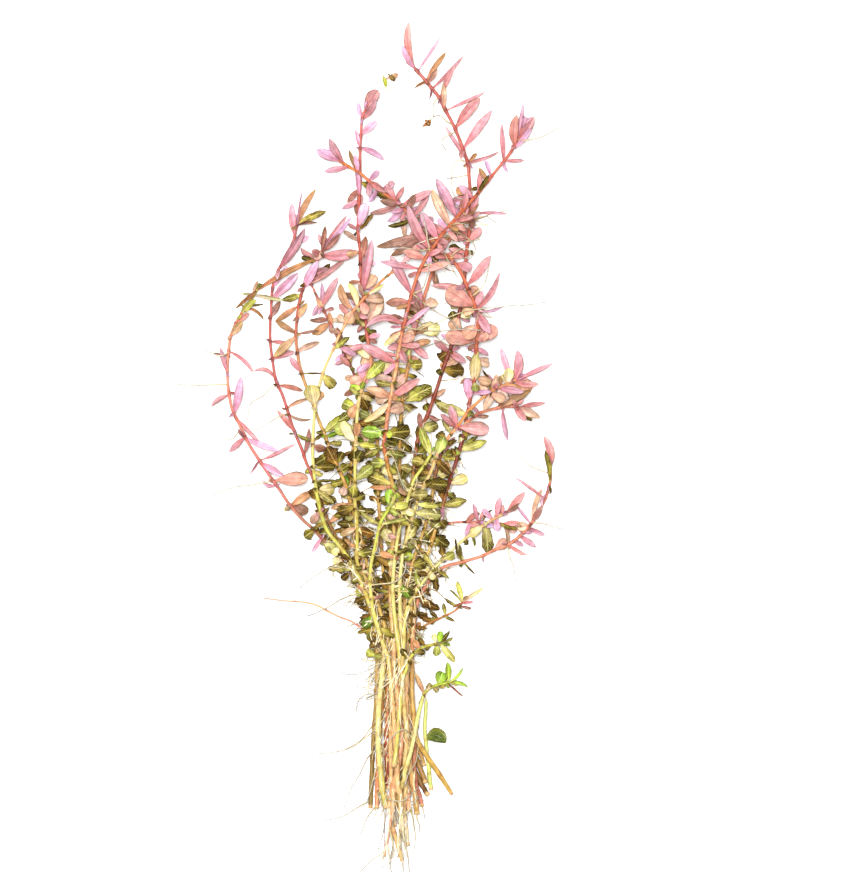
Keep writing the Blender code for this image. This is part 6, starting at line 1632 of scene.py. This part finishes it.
def drape(flat, start, roof, depth):
    """The points of a flat path laid over what is below, or sunk into it by a depth."""
    heights = []
    for x, y in flat:
        hit = plumb(roof, x, y)
        heights.append(ROOT_LOW if hit is None else hit + ROOT_AIR)
    heights = np.maximum(np.array(heights) - depth, ROOT_LOW)
    heights[0] = start
    padded = np.concatenate((heights[:1], heights, heights[-1:]))
    heights = np.maximum(heights, (padded[:-2] + padded[2:]) / 2 * SAG)
    return np.column_stack((flat, heights))


def merged(solids):
    """Solids as one tree of faces."""
    verts = []
    faces = []
    for solid_verts, solid_faces in solids:
        faces.extend(tuple(k + len(verts) for k in face) for face in solid_faces)
        verts.extend(tuple(v) for v in solid_verts)
    return BVHTree.FromPolygons(verts, faces)


def fine_roots(settled, roof):
    """Seeded fine roots, each from a stem, draped over what lies below it."""
    dice = np.random.default_rng(ROOT_SEED)
    found = {name: [] for name in settled}
    for box, count, short, long, heading, spread, curl, grey_share, stray in ROOT_BEDS:
        choices = [(name, k) for name, (line, _) in settled.items() for k in points_in(line, box)]
        for _ in range(count):
            name, k = choices[int(dice.integers(len(choices)))]
            spot = settled[name][0][k]
            longest = dice.uniform(short, long)
            angle = math.radians(heading + dice.uniform(-spread, spread))
            flat = wander(spot, longest, angle, curl, dice)
            flat = kept_inside(flat, box[0] - stray, box[1] + stray)
            if len(flat) < FEWEST_POINTS:
                continue
            depth = dice.uniform(0.0, 1.0) ** 3 * DEEPEST * MM
            points = drape(flat, spot[2], roof, depth)
            radius = dice.uniform(*ROOT_RADIUS) * MM
            paints = FOOT_PAINTS if grey_share >= 0.5 else ROOT_PAINTS
            near = linear(paints[int(dice.integers(len(paints)))])
            far = near
            if dice.uniform() < grey_share:
                far = linear(GREY_ROOT if dice.uniform() < GREYER else DARK_ROOT_AND_PAINTED_SHADOW)
            found[name].append((points, radius, near, far))
    return found


# Loose scraps of dead leaf that lie beside the tips: ends and width in picture units.
SCRAP_STEM = "a"
SCRAPS = [
    (386, 78, 398, 74, 6, "o"), (388, 73, 395, 80, 4, "c"), (383, 75, 386, 86, 4, "y"),
    (423, 126, 431, 119, 4, "o"), (425, 119, 430, 125, 4, "c"),
]
SCRAP_THREAD = [(384, 84, 0.5), (387, 90, 0.6), (390, 94, 0.6), (394, 98, 0.4)]
SCRAP_HEIGHT = 0.7 * MM
SCRAP_RADIUS = 0.16 * MM


def drop_scraps(skin, dice):
    """The few dead scraps that lie on the table by the longest shoot."""
    for col, row, end_col, end_row, width, kind in SCRAPS:
        base = place(col, row, SCRAP_HEIGHT)
        tip = place(end_col, end_row, SCRAP_HEIGHT)
        grow_leaf(skin, kind, leaf_shape(base, tip, width * PX, 0.0, 1), dice)
    points = np.array([place(col, row, high * MM) for col, row, high in SCRAP_THREAD])
    lime = linear(LOOKS["v"][0])
    grow_root(skin, points, SCRAP_RADIUS, dice, lime, lime, SCRAP_THINS)


class Paint:
    """A material that is put together from nodes, ending in one plain skin shader."""

    def __init__(self, name):
        self.material = bpy.data.materials.new(name)
        self.material.use_nodes = True
        self.tree = self.material.node_tree
        self.tree.nodes.clear()
        self.skin = self.node("ShaderNodeBsdfPrincipled")
        out = self.node("ShaderNodeOutputMaterial")
        self.join(self.skin.outputs["BSDF"], out.inputs["Surface"])
        self.place = self.node("ShaderNodeTexCoord").outputs["Object"]

    def node(self, kind, **settings):
        made = self.tree.nodes.new(kind)
        for key, value in settings.items():
            setattr(made, key, value)
        return made

    def join(self, source, target):
        self.tree.links.new(source, target)

    def give(self, value, target):
        """Join a node's output to an input, or set a plain value there."""
        if isinstance(value, bpy.types.NodeSocket):
            self.join(value, target)
        else:
            target.default_value = value

    def set(self, label, value):
        """Give a value to one of the skin's own inputs."""
        self.give(value, self.skin.inputs[label])

    def sum(self, operation, first, second=0.0, third=0.0):
        made = self.node("ShaderNodeMath", operation=operation)
        for value, target in zip((first, second, third), made.inputs):
            self.give(value, target)
        return made.outputs[0]

    def times(self, first, second):
        return self.sum("MULTIPLY", first, second)

    def ramp(self, value, low, high, to_low=0.0, to_high=1.0):
        """A value carried smoothly from one range to another."""
        made = self.node("ShaderNodeMapRange", interpolation_type="SMOOTHSTEP")
        for number, target in zip((value, low, high, to_low, to_high), made.inputs):
            self.give(number, target)
        return made.outputs[0]

    def mix(self, share, first, second, blend="MIX"):
        made = self.node("ShaderNodeMix", data_type="RGBA", blend_type=blend)
        self.give(share, made.inputs[0])
        self.give(first, made.inputs[6])
        self.give(second, made.inputs[7])
        return made.outputs[2]

    def dye(self, colour, other):
        """One colour multiplied by another."""
        return self.mix(1.0, colour, other, "MULTIPLY")

    def shade(self, colour, value, dark, light):
        """A colour made darker or lighter where a noise is low or high."""
        return self.dye(colour, self.mix(self.ramp(value, 0.3, 0.7), grey(dark), grey(light)))

    def noise(self, scale, detail=2.0, place=None):
        made = self.node("ShaderNodeTexNoise")
        made.inputs["Scale"].default_value = scale
        made.inputs["Detail"].default_value = detail
        self.join(place or self.place, made.inputs["Vector"])
        return made.outputs[0]

    def layer(self, name, output="Color"):
        return self.node("ShaderNodeAttribute", attribute_name=name).outputs[output]

    def parts(self, name):
        """The three numbers of a named layer of the mesh."""
        made = self.node("ShaderNodeSeparateXYZ")
        self.join(self.layer(name, "Vector"), made.inputs[0])
        return made.outputs

    def spot(self, *values):
        """Three numbers joined to one place in space."""
        made = self.node("ShaderNodeCombineXYZ")
        for value, target in zip(values, made.inputs):
            self.give(value, target)
        return made.outputs[0]

    def bump(self, height, distance, strength):
        made = self.node("ShaderNodeBump")
        made.inputs["Strength"].default_value = strength
        made.inputs["Distance"].default_value = distance
        self.join(height, made.inputs["Height"])
        self.set("Normal", made.outputs[0])

    def flesh(self, weight, depth):
        """Light that soaks in and glows under the skin, as in thin plant tissue."""
        self.set("Subsurface Weight", weight)
        self.set("Subsurface Radius", (1.0, 0.7, 0.3))
        self.set("Subsurface Scale", depth)


def grey(value):
    """A grey of the given strength."""
    return (value, value, value, 1.0)


# Scales of the noises, bigger for a finer one.
BLOTCH_SCALE = 300.0
MOTTLE_SCALE = 520.0
CELL_SCALE = 760.0
STREAK_SCALE = 1.6
PALE_SCALE = 3.4
LEAF_GLOSS_SCALE = 900.0
LEAF_GRAIN_SCALE = 1400.0
RIB_SCALE = 3.2
SPECK_SCALE = 1500.0
STEM_GLOSS_SCALE = 700.0
ROOT_SCALE = 800.0
ROOT_GRAIN_SCALE = 2000.0
CARD_SCALE = 40.0

# these two: colours of a blade's painted highlight streaks, pale tan for pink leaves and lime for green ones
PAINTED_HIGHLIGHT_TAN = (0.82, 0.72, 0.56, 1.0)
PAINTED_HIGHLIGHT_LIME = (0.62, 0.64, 0.16, 1.0)
BLOTCH_DYE = (0.22, 0.15, 0.02, 1.0)
RIM_DYE = (0.48, 0.36, 0.26, 1.0)
SPECK = (0.16, 0.07, 0.04, 1.0)


def leaf_lines(paint, u, wide, veins):
    """How strongly the midrib and the side veins show, and the fine net between them."""
    rib = paint.ramp(wide, 0.14, 0.03)
    slant = paint.sum("MULTIPLY_ADD", u, 8.0, paint.times(wide, -2.4))
    slant = paint.sum("ADD", slant, paint.times(paint.noise(BLOTCH_SCALE), 0.7))
    beat = paint.sum("ABSOLUTE", paint.sum("SUBTRACT", paint.sum("FRACT", slant), 0.5))
    side_vein = paint.times(paint.ramp(beat, 0.15, 0.02), paint.ramp(wide, 1.0, 0.55))
    cells = paint.node("ShaderNodeTexVoronoi", feature="DISTANCE_TO_EDGE")
    cells.inputs["Scale"].default_value = CELL_SCALE
    paint.join(paint.place, cells.inputs["Vector"])
    net = paint.times(paint.ramp(cells.outputs["Distance"], 0.16, 0.02), paint.ramp(veins, 0.45, 0.95))
    return paint.sum("MAXIMUM", rib, paint.times(side_vein, 0.7)), net


def leaf_material(name):
    """Blade: mottled flesh with a midrib, side veins, dark blotches, a dry rim, and painted highlights and
    shade in streaks.
    """
    paint = Paint(name)
    u, v, seed = paint.parts("mark")
    veins, blotch, _ = paint.parts("traits")
    wide = paint.sum("ABSOLUTE", v)
    lines, net = leaf_lines(paint, u, wide, veins)
    colour = paint.shade(paint.layer("tint"), paint.noise(MOTTLE_SCALE, 3.0), 0.76, 1.14)
    # painted highlight and shade: lengthwise streaks lighten and darken the blade as its folds would catch
    # the light
    grain = paint.spot(paint.times(v, 3.0), paint.times(u, 0.8), paint.times(seed, 40.0))
    colour = paint.shade(colour, paint.noise(STREAK_SCALE, 3.0, grain), 0.72, 1.2)
    # painted highlight: along pale streaks the blade's colour is mixed toward a highlight colour, pale tan
    # on pink leaves and lime on green ones; dry below holds that highlight colour, not a dry patch
    pale = paint.ramp(paint.noise(PALE_SCALE, 4.0, grain), 0.54, 0.7)
    pale = paint.times(pale, paint.sum("MULTIPLY_ADD", blotch, 0.4, 0.36))
    dry = paint.mix(blotch, PAINTED_HIGHLIGHT_TAN, PAINTED_HIGHLIGHT_LIME)
    colour = paint.mix(pale, colour, paint.mix(0.6, colour, dry))
    patch = paint.sum("MULTIPLY_ADD", u, 0.16, paint.noise(BLOTCH_SCALE, 4.0))
    patch = paint.times(paint.ramp(patch, 0.49, 0.63), blotch)
    colour = paint.mix(patch, colour, paint.dye(colour, BLOTCH_DYE))
    strength = paint.sum("MAXIMUM", paint.times(lines, veins), paint.times(net, 0.4))
    colour = paint.mix(strength, colour, paint.layer("vein"))
    rim = paint.times(paint.ramp(wide, 0.84, 0.98), 0.7)
    paint.set("Base Color", paint.mix(rim, colour, paint.dye(colour, RIM_DYE)))
    paint.set("Roughness", paint.ramp(paint.noise(LEAF_GLOSS_SCALE), 0.3, 0.7, 0.4, 0.6))
    paint.set("Specular IOR Level", 0.06)
    height = paint.sum("ADD", paint.times(lines, -0.6), paint.noise(LEAF_GRAIN_SCALE))
    paint.bump(height, 0.12 * MM, 0.5)
    paint.flesh(0.18, 0.5 * MM)
    return paint.material


def stem_material(name):
    """Stem: long streaks, small dark specks and a faintly ribbed, waxy skin."""
    paint = Paint(name)
    round_x, round_y, run = paint.parts("mark")
    stretch = paint.spot(round_x, round_y, paint.times(run, 0.12))
    streak = paint.noise(RIB_SCALE, 3.0, stretch)
    colour = paint.shade(paint.layer("tint"), streak, 0.66, 1.22)
    speck = paint.ramp(paint.noise(SPECK_SCALE), 0.66, 0.74)
    paint.set("Base Color", paint.mix(paint.times(speck, 0.6), colour, SPECK))
    paint.set("Roughness", paint.ramp(paint.noise(STEM_GLOSS_SCALE), 0.3, 0.7, 0.3, 0.5))
    paint.set("Specular IOR Level", 0.2)
    paint.bump(streak, 0.15 * MM, 0.45)
    paint.flesh(0.15, 0.6 * MM)
    return paint.material


def root_material(name):
    """Root thread: pale, dry and slightly uneven."""
    paint = Paint(name)
    paint.set("Base Color", paint.shade(paint.layer("tint"), paint.noise(ROOT_SCALE, 3.0), 0.72, 1.1))
    paint.set("Roughness", 0.6)
    paint.bump(paint.noise(ROOT_GRAIN_SCALE), 0.06 * MM, 0.4)
    return paint.material


def floor_material():
    """Matt white card with the faintest grain."""
    paint = Paint("white_card")
    paint.set("Base Color", paint.mix(paint.noise(CARD_SCALE, 3.0), grey(0.9), grey(0.94)))
    paint.set("Roughness", 0.85)
    paint.set("Specular IOR Level", 0.1)
    return paint.material


FLOOR_HALF = 3.0
LENS = 300.0
SENSOR = 36.0
PHOTO_WIDE = 856
PHOTO_HIGH = 876
PLANT_HEIGHT = 6.0 * MM
KEY_LIGHT = ((-0.5, 0.7, 2.0), 1.0, 30.0)  # where, how wide and how strong
FRONT_LIGHT = ((-0.1, 0.16, 2.8), 0.6, 118.0)
ROOM_LIGHT = 0.35


def make_floor():
    """A wide white card under the bunch."""
    mesh = bpy.data.meshes.new("floor")
    corners = [(x * FLOOR_HALF, y * FLOOR_HALF, 0) for x, y in ((-1, -1), (1, -1), (1, 1), (-1, 1))]
    mesh.from_pydata(corners, [], [(0, 1, 2, 3)])
    mesh.materials.append(floor_material())
    floor = bpy.data.objects.new("floor", mesh)
    bpy.context.scene.collection.objects.link(floor)
    floor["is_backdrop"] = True


def make_camera():
    """Straight above the table, far off, framed as the photograph is."""
    data = bpy.data.cameras.new("camera")
    data.lens = LENS
    data.sensor_width = SENSOR
    reach = PHOTO_HIGH * PX * LENS / SENSOR
    data.clip_start = reach / 50
    data.clip_end = reach * 20
    camera = bpy.data.objects.new("camera", data)
    centre = place(PHOTO_WIDE / 2, PHOTO_HIGH / 2)
    camera.location = (centre[0], centre[1], PLANT_HEIGHT + reach)
    bpy.context.scene.collection.objects.link(camera)
    bpy.context.scene.camera = camera


def make_light(name, spot, size, power):
    """A soft square lamp that looks at the middle of the bunch."""
    data = bpy.data.lights.new(name, "AREA")
    data.size = size
    data.energy = power
    lamp = bpy.data.objects.new(name, data)
    lamp.location = spot
    lamp.rotation_mode = "QUATERNION"
    lamp.rotation_quaternion = Vector(spot).to_track_quat("Z", "Y")
    bpy.context.scene.collection.objects.link(lamp)


def make_studio():
    """Table, camera, two soft lamps and a pale room."""
    make_floor()
    make_camera()
    make_light("key", *KEY_LIGHT)
    make_light("front", *FRONT_LIGHT)
    world = bpy.data.worlds.new("studio")
    world.use_nodes = True
    back = world.node_tree.nodes["Background"]
    back.inputs["Color"].default_value = grey(1.0)
    back.inputs["Strength"].default_value = ROOM_LIGHT
    bpy.context.scene.world = world
    bpy.context.scene.view_settings.view_transform = "Standard"


def grow_plant(name, line, radius, leaves, extra, threads, roots, materials, dice):
    """One stem with everything that grows on it, as one piece."""
    skin = Skin()
    nodes = [leaf[1]["base"] for leaf in leaves + extra]
    grow_stem(skin, name, line, radius, nodes, dice)
    for k, (kind, shape, _, _) in enumerate(leaves):
        tuck = TUCK if (name, k) == HALF_MOON else 1.0
        grow_leaf(skin, STANDOUTS.get((name, k), kind), shape, dice, tuck)
    for kind, shape in extra + bud(name, line, dice):
        grow_leaf(skin, kind, shape, dice)
    if name == SCRAP_STEM:
        drop_scraps(skin, dice)
    for points, taper in threads:
        near = linear(THREAD_PAINTS[int(dice.integers(len(THREAD_PAINTS)))])
        thick = max(taper[0], THINNEST_THREAD)
        grow_root(skin, points, thick, dice, near, linear(GREY_ROOT), THREAD_THINS)
    for points, thick, near, far in roots:
        grow_root(skin, points, thick, dice, near, far, FINE_ROOT_THINS)
    plant = skin.build("plant_" + name, materials)
    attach(plant, "root")
    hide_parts("stem_" + name)


make_studio()
settled, bodies, leaves, threads, crowd = lay_all()
across = {}
for number, name in enumerate(STEMS):
    across[name] = partners(crowd, name, leaves[name], np.random.default_rng(PARTNER_SEED + number))
thickets = fill_thickets(crowd, settled)
solids = list(bodies.values()) + [leaf[2:] for group in leaves.values() for leaf in group]
roots = fine_roots(settled, merged(solids))

skins = {}
for key in ("rosy", "gold", "tan", "green"):
    skins[key] = [stem_material(key + "_stem"), leaf_material(key + "_blade"),
                  root_material(key + "_root")]
for number, name in enumerate(STEMS):
    line, radius = settled[name]
    grow_plant(name, line, radius, leaves[name], across[name] + thickets[name], threads[name],
               roots[name], skins[STEMS[name]["family"]], np.random.default_rng(LOOK_SEED + number))

boxes = {"cad": CAD_BOX, "visual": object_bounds()}
{key: [list(corner) for corner in box] for key, box in boxes.items()}
